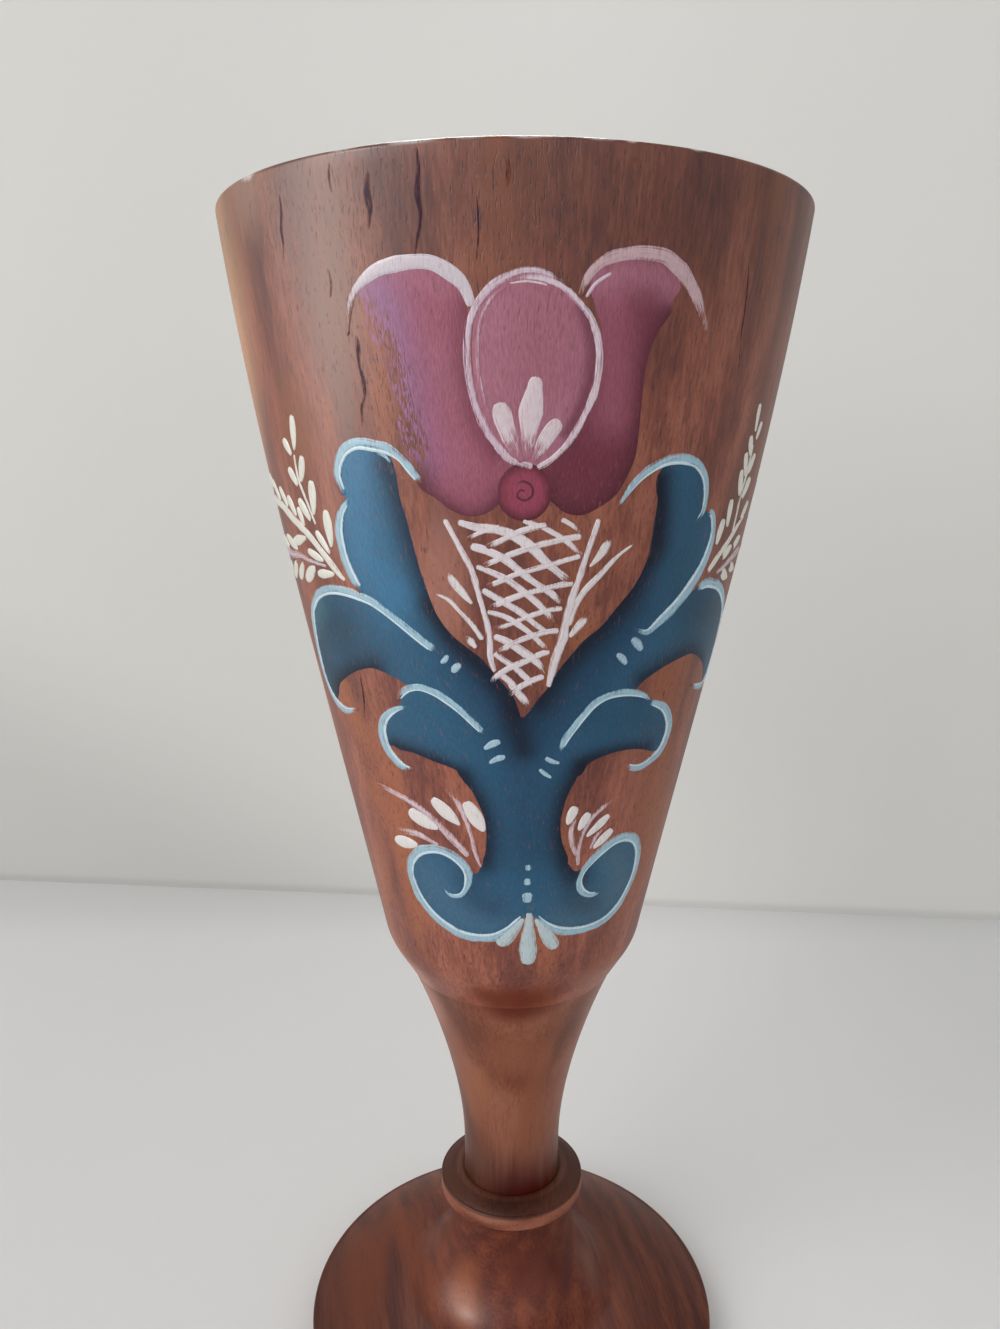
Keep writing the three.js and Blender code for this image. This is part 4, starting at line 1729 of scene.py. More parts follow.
    outlines: tuple[Pull, ...] = (
        ((-16, 163.4, 0.3), (-17, 164.6, 0.5), (-19, 165.2, 0.4)),
        (
            (-11.9, 161.2, 0.9), (-13.4, 162.9, 1.2), (-14.8, 164.4, 1.1), (-16.7, 165.5, 1.5),
            (-19.1, 166, 1.7), (-21.4, 166.2, 1.7), (-23.5, 165.4, 1.7), (-24.8, 163.9, 1.7),
            (-25.3, 162.3, 1.6), (-24.9, 160.8, 1.4), (-24.2, 159.3, 1.1),
        ),
        (
            (-23.4, 159, 0.6), (-25.1, 157.2, 1.4), (-25.9, 155.2, 1.9), (-25.9, 153.2, 1.9),
            (-25.2, 150.3, 1.8), (-23.9, 147.8, 1.7), (-22.4, 145.9, 1.3),
        ),
        (
            (-10.6, 138.4, 1.3), (-12.7, 139.8, 1.3), (-15.3, 141.6, 1.2), (-18, 143.4, 1.2),
            (-20.7, 144.8, 1.3), (-23.3, 145.5, 1.5), (-26, 145.9, 1.6), (-28.7, 145.9, 1.6),
            (-31, 145.5, 1.6), (-33.7, 144.5, 1.7), (-35.3, 143.3, 1.8), (-36.7, 141.7, 1.8),
            (-37.4, 139.3, 2), (-37.6, 136.5, 2), (-37.3, 133, 1.9), (-36, 130, 1.7), (-34, 127.9, 1.6),
            (-31.7, 126.8, 1.6), (-29.3, 126.5, 1.3), (-27.3, 127, 0.8), (-25.7, 127.6, 0.4),
        ),
        (
            (-3.8, 126.2, 0.8), (-5.3, 127.8, 1.1), (-7.3, 129.7, 1.1), (-9.3, 131.2, 1.2),
            (-11.3, 132.3, 1.2), (-13.3, 132.8, 1.2), (-15, 132.5, 1.2), (-16.3, 131.7, 1.2),
            (-17.5, 130.2, 0.9),
        ),
        (
            (-15.6, 129.5, 0.4), (-17, 129.2, 0.8), (-18.7, 128.3, 1.3), (-20, 127, 1.6),
            (-20.7, 125.3, 1.9), (-20.5, 123.3, 1.9), (-19.7, 121.7, 1.7), (-18.3, 120.3, 1.6),
            (-16.7, 119.5, 1.2), (-15, 119.4, 0.5),
        ),
        (
            (13.8, 158, 0.3), (14.7, 159.3, 0.6), (16, 161, 1), (17.7, 162.5, 1.2), (20, 163.7, 1.3),
            (22, 164.2, 1.5), (24.3, 164.2, 1.6), (26.7, 163.5, 1.5), (28.3, 162, 1.4), (29, 160, 1.3),
            (29, 158, 1.2), (28.5, 156.7, 0.9), (27.3, 155.5, 0.5),
        ),
        (
            (29.6, 157, 0.7), (31, 156.8, 1.2), (31.8, 155.3, 1.4), (32, 153.7, 1.5), (31.5, 151.7, 1.7),
            (30.5, 149.7, 1.8), (29, 147.7, 2), (27.3, 146, 2), (25.3, 144.2, 1.8), (23.3, 142.7, 1.8),
            (21.7, 141.7, 1.5), (20, 140.6, 1), (18.7, 140.7, 0.7), (17.3, 141.5, 0.4),
        ),
        (
            (29.3, 146, 1), (32, 146.7, 1.7), (34.7, 146.3, 1.7), (36.7, 145.7, 1.7), (38.7, 144.7, 1.8),
            (40.4, 143.4, 1.9), (42.5, 141, 2), (43.5, 138, 2), (43.3, 134.5, 1.9), (41.5, 131, 1.7),
            (38.6, 129.3, 1.5), (35.3, 129.5, 1.2), (32, 130.4, 0.5),
        ),
        (
            (6.8, 123.4, 0.6), (7.5, 125.3, 1.2), (8.7, 127, 1.2), (10, 128.7, 1.2), (11.7, 130.5, 1.2),
            (13.7, 131.5, 1.2), (16, 131.8, 1.3), (18.3, 131.5, 1.2), (20.3, 130.8, 0.9),
            (22, 129.6, 0.4),
        ),
        (
            (21, 129.6, 0.4), (22.7, 129.2, 1.2), (24.7, 128.2, 1.6), (26.3, 126.3, 2), (26.8, 124.3, 2),
            (26.3, 122.3, 2), (25, 120.7, 1.8), (23, 119.7, 1.5), (20.7, 119, 1.3), (18.7, 119.3, 1.1),
            (17.5, 120.2, 0.6),
        ),
        (
            (-10.9, 99.9, 0.3), (-10.2, 98.8, 0.5), (-9.2, 98.4, 0.8), (-7.9, 98.8, 0.9), (-7.1, 100, 1),
            (-6.7, 101.4, 1.3), (-6.7, 102.9, 1.5), (-7.4, 104.3, 1.5), (-9, 105.7, 1.6),
            (-11.1, 106.4, 1.6), (-13.2, 106.2, 1.7), (-15.2, 105.2, 1.8), (-16.7, 103.3, 1.9),
            (-17.1, 101.2, 1.8), (-16.5, 98.7, 1.7), (-15.2, 96.3, 1.7), (-13.2, 94.2, 1.6),
            (-10.7, 92.5, 1.7), (-7.9, 91.4, 1.7), (-5.2, 91.2, 1.7), (-2.7, 91.6, 1.7),
            (-0.65, 92.9, 1.5), (1.1, 94.8, 1.2), (2.2, 96, 0.9),
        ),
        (
            (14.4, 98.2, 0.7), (12.7, 98, 1.1), (11.3, 98.8, 1.3), (10.5, 100.2, 1.3), (10.6, 101.8, 1.1),
            (11.5, 103.3, 1.1), (12.9, 104.7, 1.3), (14.6, 106, 1.5), (16.7, 107, 1.6),
            (19.1, 107.1, 1.7), (21.2, 106, 1.8), (22.4, 103.9, 1.8), (22.6, 101.5, 1.7),
            (22.1, 99.1, 1.6), (20.9, 96.7, 1.6), (18.8, 94.2, 1.6), (16, 92.5, 1.6), (13.2, 91.8, 1.6),
            (10.5, 91.8, 1.6), (7.7, 92.3, 1.6), (5.6, 93.5, 1.3), (4, 95.1, 1), (3.2, 96.1, 0.6),
        ),
    )
    commas: tuple[Pull, ...] = (
        ((-9, 138, 0.7), (-9.4, 137.2, 1), (-10.1, 136.7, 0.5)),
        ((-7.1, 136.8, 1), (-7.9, 136.1, 1.3), (-8.5, 135.4, 0.7)),
        ((-4.1, 123.9, 0.6), (-2.9, 124.8, 1.3), (-1.6, 125.3, 0.9)),
        ((-3.4, 121.7, 0.5), (-2.2, 122.5, 1.2), (-0.9, 122.9, 0.9)),
        ((17.1, 139.9, 1), (18.2, 139, 1.7), (19.1, 137.8, 1)),
        ((14.8, 137.8, 0.8), (15.8, 137, 1.4), (16.6, 136, 0.7)),
        ((4.6, 122.7, 0.6), (5.6, 122, 1), (6.9, 121.6, 0.4)),
        ((3.8, 120.9, 0.7), (4.6, 120.1, 0.95), (5.7, 119.3, 0.4)),
        ((2.4, 104.9, 1.1), (2.4, 103.8, 1.1)),
        ((2.3, 102.5, 1.4), (2.3, 101.2, 1.4)),
        ((2.3, 100, 2), (2.3, 98, 2)),
    )
    drops: tuple[Pull, ...] = (
        ((1.8, 95.4, 0.7), (0.6, 93.4, 1.8), (-0.8, 91.6, 2.4), (-2.3, 90.1, 1.9)),
        ((3.6, 95.2, 0.7), (4.8, 93, 1.8), (5.9, 90.9, 2.4), (7, 88.9, 2)),
        ((2.6, 96.4, 0.9), (2.6, 93.6, 1.9), (2.5, 90.6, 2.8), (2.5, 88, 3), (2.4, 86.3, 2.5)),
    )

    def bright_line(self, easel: Easel, path: Pull) -> Stroke:
        """A thin, bright pull along the side of an outline that lies on a leaf.

        Args:
            easel: The easel, with the leaves painted.
            path: The outline.

        Returns:
            The pull.
        """
        line = smooth_line(np.array(path), 3 * len(path))
        ahead = np.gradient(line[:, :2], axis=0)
        aside = np.column_stack([-ahead[:, 1], ahead[:, 0]]) / np.hypot(*ahead.T)[:, None]
        sides = [line[:, :2] + self.bright_share * sign * line[:, 2:] * aside for sign in (1, -1)]
        spots = max(sides, key=lambda side: float(easel.beneath(side)[:, 3].sum()))
        inner = np.column_stack([spots, self.bright_share * line[:, 2]])[1:-1]
        return Stroke(as_rows(inner), self.bright, load=0.92, lift=0.16)

    def build(self, easel: Easel) -> list[Piece]:
        """Paints the scrolls, then their pale outlines and dabs."""
        shapes = (
            self.left_branch, self.right_branch, self.left_middle, self.right_middle,
            self.left_lower, self.right_lower, self.trunk, self.volutes,
        )
        patches = [
            Patch(*shape, self.ground, lift=self.first_lift + self.layer_lift * layer)
            for layer, shape in enumerate(shapes)
        ]
        leaves = paint_piece("scroll_leaves", easel, self.finish, patches, [])
        strokes = [
            Stroke(path, self.edging, load=0.88, lift=0.12, dry_start=1, dry_end=2)
            for path in self.outlines
        ]
        strokes += [self.bright_line(easel, path) for path in self.outlines]
        strokes += [Stroke(path, self.comma_paint, load=0.88, lift=0.1) for path in self.commas]
        strokes += [Stroke(path, self.drop_paint, load=0.93, lift=0.17) for path in self.drops]
        return [leaves, paint_piece("scroll_strokes", easel, self.white, [], strokes)]


@dataclass
class Veins:
    """A few long, blue-black veins in the wood round the tulip, broken up as they follow the pores."""

    finish: BrushedPaint
    ink: Paint = (44, 22, 42)
    spread: float = 1.2  # a factor on the widths of all veins

    lines: tuple[Pull, ...] = (
        (
            (-11.3, 199.2, 0.35), (-11.1, 197, 0.5), (-11.3, 194.5, 0.9), (-11, 192, 0.6),
            (-11.5, 189.5, 0.45), (-12, 187.2, 0.3),
        ),
        ((-17.5, 197.2, 0.4), (-17.8, 195, 1.1), (-17.5, 193.2, 0.9), (-17.8, 191, 0.3)),
        ((-22.9, 198.6, 0.25), (-23.1, 197.2, 0.45), (-22.8, 195.4, 0.25)),
        (
            (-31.9, 196.6, 0.25), (-31.7, 194.8, 0.55), (-32.1, 192.6, 0.65), (-31.9, 190.8, 0.4),
            (-32.2, 189, 0.2),
        ),
        (
            (-20.5, 179.4, 0.4), (-20.2, 177.8, 0.9), (-20.2, 175.8, 0.6), (-19.7, 174, 0.8),
            (-19.6, 172.2, 0.5), (-20.2, 170.6, 0.6), (-20.2, 168.6, 0.3),
        ),
        ((-12.8, 182.4, 0.3), (-12.6, 180.4, 0.6), (-12.9, 178.4, 0.3)),
        ((-24.1, 187.2, 0.25), (-23.8, 185.5, 0.5), (-24.1, 183.8, 0.3)),
        ((-0.8, 197.6, 0.3), (-0.6, 196.2, 0.75), (-0.8, 194.6, 0.35)),
        ((-4.3, 194, 0.2), (-4.1, 190, 0.3), (-4.4, 186.8, 0.25)),
        ((15.5, 189.5, 0.2), (15.7, 186, 0.35), (15.4, 182, 0.2)),
        ((33, 189, 0.2), (33.3, 185, 0.35), (33.1, 180, 0.3), (33.4, 175, 0.2)),
        ((-24.6, 134, 0.25), (-24.2, 130, 0.5), (-24.5, 126, 0.25)),
    )

    def build(self, easel: Easel) -> list[Piece]:
        """Draws the veins."""
        wider = [widened(path, self.spread) for path in self.lines]
        strokes = [
            Stroke(path, self.ink, load=0.86, lift=0.01, dry_start=1.5, dry_end=2, rim=0.5)
            for path in wider
        ]
        return [paint_piece("wood_veins", easel, self.finish, [], strokes)]


@dataclass
class Sprigs:
    """The two white sprigs that grow out of the volutes."""

    finish: BrushedPaint
    mauve: Paint = (214, 190, 198)
    white: Paint = (228, 222, 220)
    dab_lift: float = 0.15

    stems: tuple[Pull, ...] = (
        (
            (-24, 115.3, 0.4), (-22, 115.2, 0.8), (-19.4, 114.7, 1), (-16.4, 113.9, 1.1),
            (-13.6, 112.5, 1.3), (-11.1, 110.6, 1.45), (-8.7, 108.2, 1.4), (-7.2, 106.6, 1.2),
            (-6.5, 105.8, 0.8),
        ),
        (
            (-10.5, 117.4, 0.3), (-9, 116, 0.8), (-7.8, 114.3, 1), (-6.9, 112, 0.9), (-6.2, 109.6, 0.8),
            (-5.7, 107.1, 0.8), (-5, 105, 0.6), (-4.6, 104.1, 0.3),
        ),
        (
            (-20.4, 107.8, 0.7), (-17.7, 108.3, 1.2), (-15.3, 108.4, 1.3), (-13.3, 107.9, 1),
            (-11.2, 107.1, 0.5),
        ),
        (
            (17.6, 115.2, 0.25), (15.6, 114.4, 0.5), (13.9, 113.3, 0.8), (12.2, 111.9, 0.9),
            (11.1, 110, 0.9), (10.4, 108, 0.8), (10.1, 105.8, 0.9), (10.2, 103.8, 0.7),
        ),
        (
            (11.3, 113.7, 0.3), (9.9, 112.7, 0.6), (9.1, 111.1, 0.8), (8.9, 109.1, 1), (9.4, 106.8, 0.8),
            (10, 105.6, 0.5),
        ),
        ((16.8, 110.8, 0.25), (15, 110, 0.5), (13.4, 108.9, 0.7), (12.6, 107.6, 0.7), (12.1, 106.3, 0.5)),
    )
    dabs: tuple[tuple[Spot, Spot, float], ...] = (
        ((-12.4, 115.2), (-7.7, 111.1), 2.2),
        ((-7, 115.4), (-4.1, 110.3), 2.4),
        ((-16.7, 112.2), (-11.2, 110), 2.4),
        ((-20.2, 106.1), (-15, 106.4), 2.2),
        ((9.5, 114.4), (8.2, 111.2), 1.7),
        ((11.8, 113), (10, 110), 1.6),
        ((15.4, 112), (11.3, 108.7), 1.6),
        ((16.2, 109.3), (12.5, 106.4), 1.6),
    )

    def build(self, easel: Easel) -> list[Piece]:
        """Paints the sprigs."""
        strokes = [
            Stroke(path, self.mauve, load=0.84, lift=0.09, dry_start=4, rim=0.3) for path in self.stems
        ]
        strokes += [drop(start, end, width, self.white, self.dab_lift) for start, end, width in self.dabs]
        return [paint_piece("volute_sprigs", easel, self.finish, [], strokes)]


@dataclass
class Ferns:
    """The white ferns that reach round both sides from the upper leaves."""

    finish: BrushedPaint
    white: Paint = (224, 222, 212)
    mauve: Paint = (206, 188, 196)
    dab_lift: float = 0.15

    stems: tuple[Pull, ...] = (
        (
            (-25.5, 147.4, 0.5), (-26.8, 148.2, 1), (-28.6, 149.7, 1.3), (-31, 151.6, 1.3),
            (-33.4, 153.3, 1.4), (-36.2, 154.7, 1.5), (-39.3, 155.9, 1.7), (-41.7, 156.9, 1.8),
            (-44.1, 157.6, 1.8), (-50, 158.2, 1.6),
        ),
        (
            (-31.2, 155, 0.5), (-32.4, 157.3, 0.6), (-33.6, 159.5, 0.6), (-34.6, 161.6, 0.6),
            (-34.9, 165, 0.5),
        ),
        (
            (31.9, 148.2, 0.8), (33.6, 149.6, 1.2), (35.5, 151, 1.2), (37.4, 152.2, 1.2),
            (39.3, 153.6, 1.2), (41.2, 154.8, 1), (43.4, 156, 0.7),
        ),
        (
            (38.6, 153.4, 0.6), (39.2, 156.4, 0.7), (39.6, 159.3, 0.7), (40.8, 162.7, 0.7),
            (41.3, 166.4, 0.5),
        ),
    )
    low_stems: tuple[Pull, ...] = (
        (
            (-29.6, 149.2, 0.5), (-34.6, 149.7, 0.8), (-38.1, 150.2, 1.1), (-41.7, 150, 1.4),
            (-46.5, 150.2, 1.6), (-51, 150.6, 1),
        ),
        ((34.6, 147.8, 0.6), (37.4, 148.6, 1), (40.3, 149.6, 1.2), (43.9, 150.3, 1.6), (48.6, 150.8, 1)),
    )
    dabs: tuple[tuple[Spot, Spot, float], ...] = (
        ((-34.2, 170.3), (-34.6, 165.2), 1.6),
        ((-37.8, 167), (-35.5, 164.6), 1.5),
        ((-32.7, 164.8), (-33.9, 160.9), 1.7),
        ((-37.4, 163), (-34.8, 160.4), 1.6),
        ((-31.2, 161.5), (-31.4, 156.3), 1.8),
        ((-35.5, 158.7), (-32.3, 155.5), 1.6),
        ((-28.6, 157.5), (-27.9, 151.9), 2.0),
        ((-31.6, 154.3), (-28.3, 151), 1.5),
        ((-36.2, 157.5), (-34.5, 154.6), 1.4),
        ((-39.5, 159), (-36.8, 156), 1.6),
        ((-42.9, 160.2), (-39.6, 157.2), 1.6),
        ((-51.2, 161.6), (-45.4, 160), 1.8),
        ((-47.4, 161), (-43, 158), 1.7),
        ((-40.5, 152), (-34.4, 153.1), 1.6),
        ((-34.8, 151.2), (-30.1, 149.9), 1.4),
        ((-44.3, 152.8), (-38.4, 151), 1.7),
        ((-49, 152.2), (-43.4, 151), 1.7),
        ((-32.6, 147.9), (-27.8, 148.2), 1.5),
        ((-37.2, 146.5), (-32.8, 148.9), 2.0),
        ((-40.3, 146.4), (-37, 149.2), 2.0),
        ((-44.3, 146.3), (-40.3, 149), 2.2),
        ((-48.3, 146.5), (-44.4, 148.6), 2.1),
        ((34.8, 156), (33.3, 152), 1.7),
        ((36.4, 158.8), (36.1, 154.4), 1.7),
        ((38.3, 162.9), (39, 158.8), 1.8),
        ((39.8, 167.6), (40.9, 164.5), 1.6),
        ((41.5, 172), (41.2, 167.8), 1.4),
        ((38.9, 165.3), (40.2, 161.5), 1.5),
        ((43.8, 169.5), (42.1, 166.8), 1.3),
        ((43.2, 165), (40.9, 162), 1.5),
        ((43, 161.6), (40, 158.4), 1.7),
        ((44.6, 158), (41.4, 155.3), 1.6),
        ((36.1, 150), (39.5, 151.7), 1.7),
        ((40.2, 151.3), (43.6, 152.8), 1.6),
        ((36.8, 147.8), (40.2, 146.6), 1.7),
        ((40.4, 148.4), (44, 147.6), 1.7),
    )

    def build(self, easel: Easel) -> list[Piece]:
        """Paints the ferns."""
        strokes = [
            Stroke(path, self.mauve, load=0.84, lift=0.08, dry_end=4) for path in self.low_stems
        ]
        strokes += [Stroke(path, self.white, load=0.93, lift=0.1, rim=0.2) for path in self.stems]
        strokes += [drop(start, end, width, self.white, self.dab_lift) for start, end, width in self.dabs]
        return [paint_piece("side_ferns", easel, self.finish, [], strokes)]


@dataclass
class SideFlower:
    """A five-petalled plum flower on one side of the bowl, between the ferns and the back."""

    name: str
    finish: BrushedPaint
    white: BrushedPaint
    centre: Spot
    reach: float = 9.6
    heart: float = 2.1
    petals: int = 5
    petal_steps: int = 8
    petal_half: float = 3.6
    petal_root: float = 0.6  # how far inside the heart a petal starts, as a share
    petal_lean: float = 0.8  # below 1 a petal is widest past its middle
    petal_fullness: float = 0.7  # below 1 its ends are blunter
    dab_start: Spot = (0.96, 1.5)  # a share of the reach, and a way aside
    dab_end: Spot = (0.5, 2.3)
    heart_paint: Paint = (96, 40, 60)
    heart_half: float = 0.6
    seeds: int = 6
    seed_ring: float = 1.3
    seed_length: float = 0.3
    seed_width: float = 0.5

    def petal(self, turn: float) -> Patch:
        """One petal: two edges that bow out from the heart and meet in a soft tip.

        Args:
            turn: The petal's direction.

        Returns:
            The petal.
        """
        share = np.linspace(0, 1, self.petal_steps)
        root = self.heart * self.petal_root
        out = root + (self.reach - root) * share
        half = self.petal_half * np.sin(pi * share**self.petal_lean) ** self.petal_fullness
        ahead, aside = compass(turn)
        middle = np.array(self.centre) + out[:, None] * ahead
        bow = half[:, None] * aside
        glazes = (
            Glaze(ROSE, as_rows(middle[4:]), reach=2.4, strength=0.7),
            Glaze(MAROON, as_rows(middle[:3]), reach=2.2, strength=0.9),
        )
        return Patch(as_rows(middle + bow), as_rows(middle - bow), Ground(PLUM, glazes), columns=12)

    def dab(self, turn: float) -> Stroke:
        """The pale dab along one side of a petal.

        Args:
            turn: The petal's direction.

        Returns:
            The dab.
        """
        ahead, aside = compass(turn)
        start, end = (
            np.array(self.centre) + ahead * self.reach * share + aside * away
            for share, away in (self.dab_start, self.dab_end)
        )
        return drop((start[0], start[1]), (end[0], end[1]), width=0.9, paint=PINK_WHITE, lift=0.1)

    def build(self, easel: Easel) -> list[Piece]:
        """Paints the petals, and then the pale dabs, the heart and its seeds."""
        turns = (pi + 2 * pi * np.arange(self.petals) / self.petals).tolist()
        patches = [self.petal(turn) for turn in turns]
        x, z = self.centre
        heart = ((x, z + self.heart_half, 3.2), (x, z, 4), (x, z - self.heart_half, 3.2))
        strokes = [self.dab(turn) for turn in turns]
        strokes.append(Stroke(heart, self.heart_paint, load=1.0, lift=0.1))
        for turn in np.arange(self.seeds) * pi / 3:
            right, up = x + self.seed_ring * float(np.cos(turn)), z + self.seed_ring * float(np.sin(turn))
            seed = even(((right, up), (right, up - self.seed_length)), self.seed_width)
            strokes.append(Stroke(seed, CREAM, load=1.0, lift=0.14))
        return [
            paint_piece(f"{self.name}_petals", easel, self.finish, patches, []),
            paint_piece(f"{self.name}_dabs", easel, self.white, [], strokes),
        ]


# The studio


@dataclass(frozen=True)
class Lamp:
    """A soft lamp that faces one spot. A sheen is only seen reflected: it lights nothing by itself."""

    name: str
    spot: Triple
    aim: Triple
    size: Spot
    radiance: float
    sheen: bool = False
    tint: Paint = (255, 253, 250)

    def hang(self) -> None:
        """Adds the lamp. Its power is the radiance times pi times its area."""
        data = bpy.data.lights.new(self.name, "AREA")
        data.shape = "RECTANGLE"
        data.size, data.size_y = self.size
        data.energy = self.radiance * pi * self.size[0] * self.size[1]
        data.color = linear(self.tint)
        lamp = bpy.data.objects.new(self.name, data)
        lamp.visible_camera = False
        lamp.visible_diffuse = not self.sheen
        ahead = Vector(self.aim) - Vector(self.spot)
        lamp.rotation_euler = ahead.to_track_quat("-Z", "Y").to_euler()
        lamp.location = self.spot
        bpy.context.scene.collection.objects.link(lamp)


@dataclass
class Studio:
    """A pale table and wall, a soft window on the left, and the camera where the photographer stood."""

    table: Paint = (246, 246, 246)
    wall: Paint = (228, 227, 223)
    # painted light and shade on the table: darker to the left, towards the wall, and to the right
    table_painted_light: tuple[PaintedLightRamp, ...] = (
        PaintedLightRamp((-1, 0, 0), -60, 140, 0.88),
        PaintedLightRamp((0, 1, 0), 150, 188, 0.9),
        PaintedLightRamp((1, 0, 0), 60, 160, 0.93),
    )
    # painted light and shade on the wall: darker to the left and low on the left, and a painted shadow line
    # where it meets the table
    wall_painted_light: tuple[PaintedLightRamp, ...] = (
        PaintedLightRamp((-1, 0, 0), -40, 150, 0.9),
        PaintedLightRamp((-0.5, 0, -1), -30, 60, 0.84),
        PaintedLightRamp((0, 0, -1), -4, -1, 0.86),
    )
    wall_distance: float = 0.187
    wall_turn: float = 4.6
    reach: float = 3.0
    eye: Triple = (0.0, -0.1677, 0.1645)
    pitch: float = 11.68
    yaw: float = 0.742
    focal_pixels: float = 1005.0
    picture_height: float = 1329.0
    sensor: float = 36.0
    nearest: float = 0.01
    roughness: float = 0.85
    mirror: float = 0.2
    room: Paint = (238, 239, 240)
    room_side: float = 1.15
    room_top: float = 0.34
    lamps: tuple[Lamp, ...] = (
        Lamp("window", (-0.44, -0.39, 0.44), (0.0, 0.0, 0.1), (0.48, 0.48), 2.35),
        Lamp("window_pane", (-0.5, -0.3, 0.45), (0.0, 0.0, 0.02), (0.13, 0.13), 60.0, sheen=True),
        Lamp("left_sheen", (-0.4, -0.13, 0.19), (-0.02, 0.0, 0.19), (0.3, 0.3), 6.0, sheen=True),
        Lamp("far_room", (0.0, -0.9, 0.5), (0.0, 0.0, 0.2), (1.4, 0.7), 1.0, sheen=True, tint=(
            236, 240, 255,
        )),
        Lamp("rim_sheen", (-0.01, 0.15, 0.36), (0.0, -0.04, 0.2), (0.1, 0.06), 36.0, sheen=True),
    )

    def plain(self, name: str, paint: Paint, painted_light_ramps: Iterable[PaintedLightRamp]) -> bpy.types.Material:
        """A dull, plain surface for the table or the wall, with painted light and shade: slow changes of
        brightness.
        """
        recipe = Recipe(name)
        colour = recipe.node("ShaderNodeRGB", {}).outputs[0]
        colour.default_value = (*linear(paint), 1.0)
        for light_ramp in painted_light_ramps:
            colour = light_ramp.tint(recipe, recipe.place(), colour)
        inputs = {"Base Color": colour, "Roughness": self.roughness, "Specular IOR Level": self.mirror}
        surface = recipe.node("ShaderNodeBsdfPrincipled", inputs)
        recipe.node("ShaderNodeOutputMaterial", {"Surface": surface.outputs[0]})
        return recipe.material

    def sheet(self, name: str, corners: Array, paint: Paint, painted_light_ramps: Iterable[PaintedLightRamp]) -> None:
        """Adds one flat sheet of the studio.

        Args:
            name: The sheet's name.
            corners: Its corners, in metres.
            paint: Its paint.
            painted_light_ramps: Painted light and shade over it, as slow changes of brightness.
        """
        mesh = bpy.data.meshes.new(name)
        mesh.from_pydata(corners.tolist(), [], [list(range(len(corners)))])
        mesh.materials.append(self.plain(f"{name}_paint", paint, painted_light_ramps))
        sheet = bpy.data.objects.new(name, mesh)
        bpy.context.scene.collection.objects.link(sheet)

    def build(self) -> None:
        """Sets up the table, the wall, the light and the camera."""
        far = self.reach
        floor = np.array([[-far, -far, 0], [far, -far, 0], [far, far, 0], [-far, far, 0]])
        self.sheet("table", floor, self.table, self.table_painted_light)
        turn = radians(self.wall_turn)
        along = np.array([np.cos(turn), -np.sin(turn), 0]) * far
        middle = np.array([0, self.wall_distance, 0])
        up = np.array([0, 0, far])
        wall = np.array([middle - along, middle + along, middle + along + up, middle - along + up])
        self.sheet("wall", wall, self.wall, self.wall_painted_light)
        self.light()
        self.camera()

    def light(self) -> None:
        """A window high on the front left, four sheens, and an even room that is dimmer overhead."""
        for lamp in self.lamps:
            lamp.hang()
        world = bpy.data.worlds.new("room")
        world.use_nodes = True
        nodes, links = world.node_tree.nodes, world.node_tree.links
        direction = nodes.new("ShaderNodeTexCoord").outputs["Generated"]
        height = nodes.new("ShaderNodeSeparateXYZ")
        strength = nodes.new("ShaderNodeMapRange")
        strength.inputs["To Min"].default_value = self.room_side
        strength.inputs["To Max"].default_value = self.room_top
        links.new(direction, height.inputs[0])
        links.new(height.outputs["Z"], strength.inputs["Value"])
        room = nodes["Background"]
        room.inputs["Color"].default_value = (*linear(self.room), 1.0)
        links.new(strength.outputs[0], room.inputs["Strength"])
        bpy.context.scene.world = world

    def camera(self) -> None:
        """Puts the camera where the photograph was taken from."""
        data = bpy.data.cameras.new("camera")
        data.sensor_width = self.sensor
        data.lens = self.focal_pixels / self.picture_height * self.sensor
        data.clip_start = self.nearest
        camera = bpy.data.objects.new("camera", data)
        camera.location = self.eye
        camera.rotation_euler = (radians(90 - self.pitch), 0.0, radians(self.yaw))
        bpy.context.scene.collection.objects.link(camera)
        bpy.context.scene.camera = camera
        bpy.context.scene.view_settings.view_transform = "Standard"


# The four woods and the paints

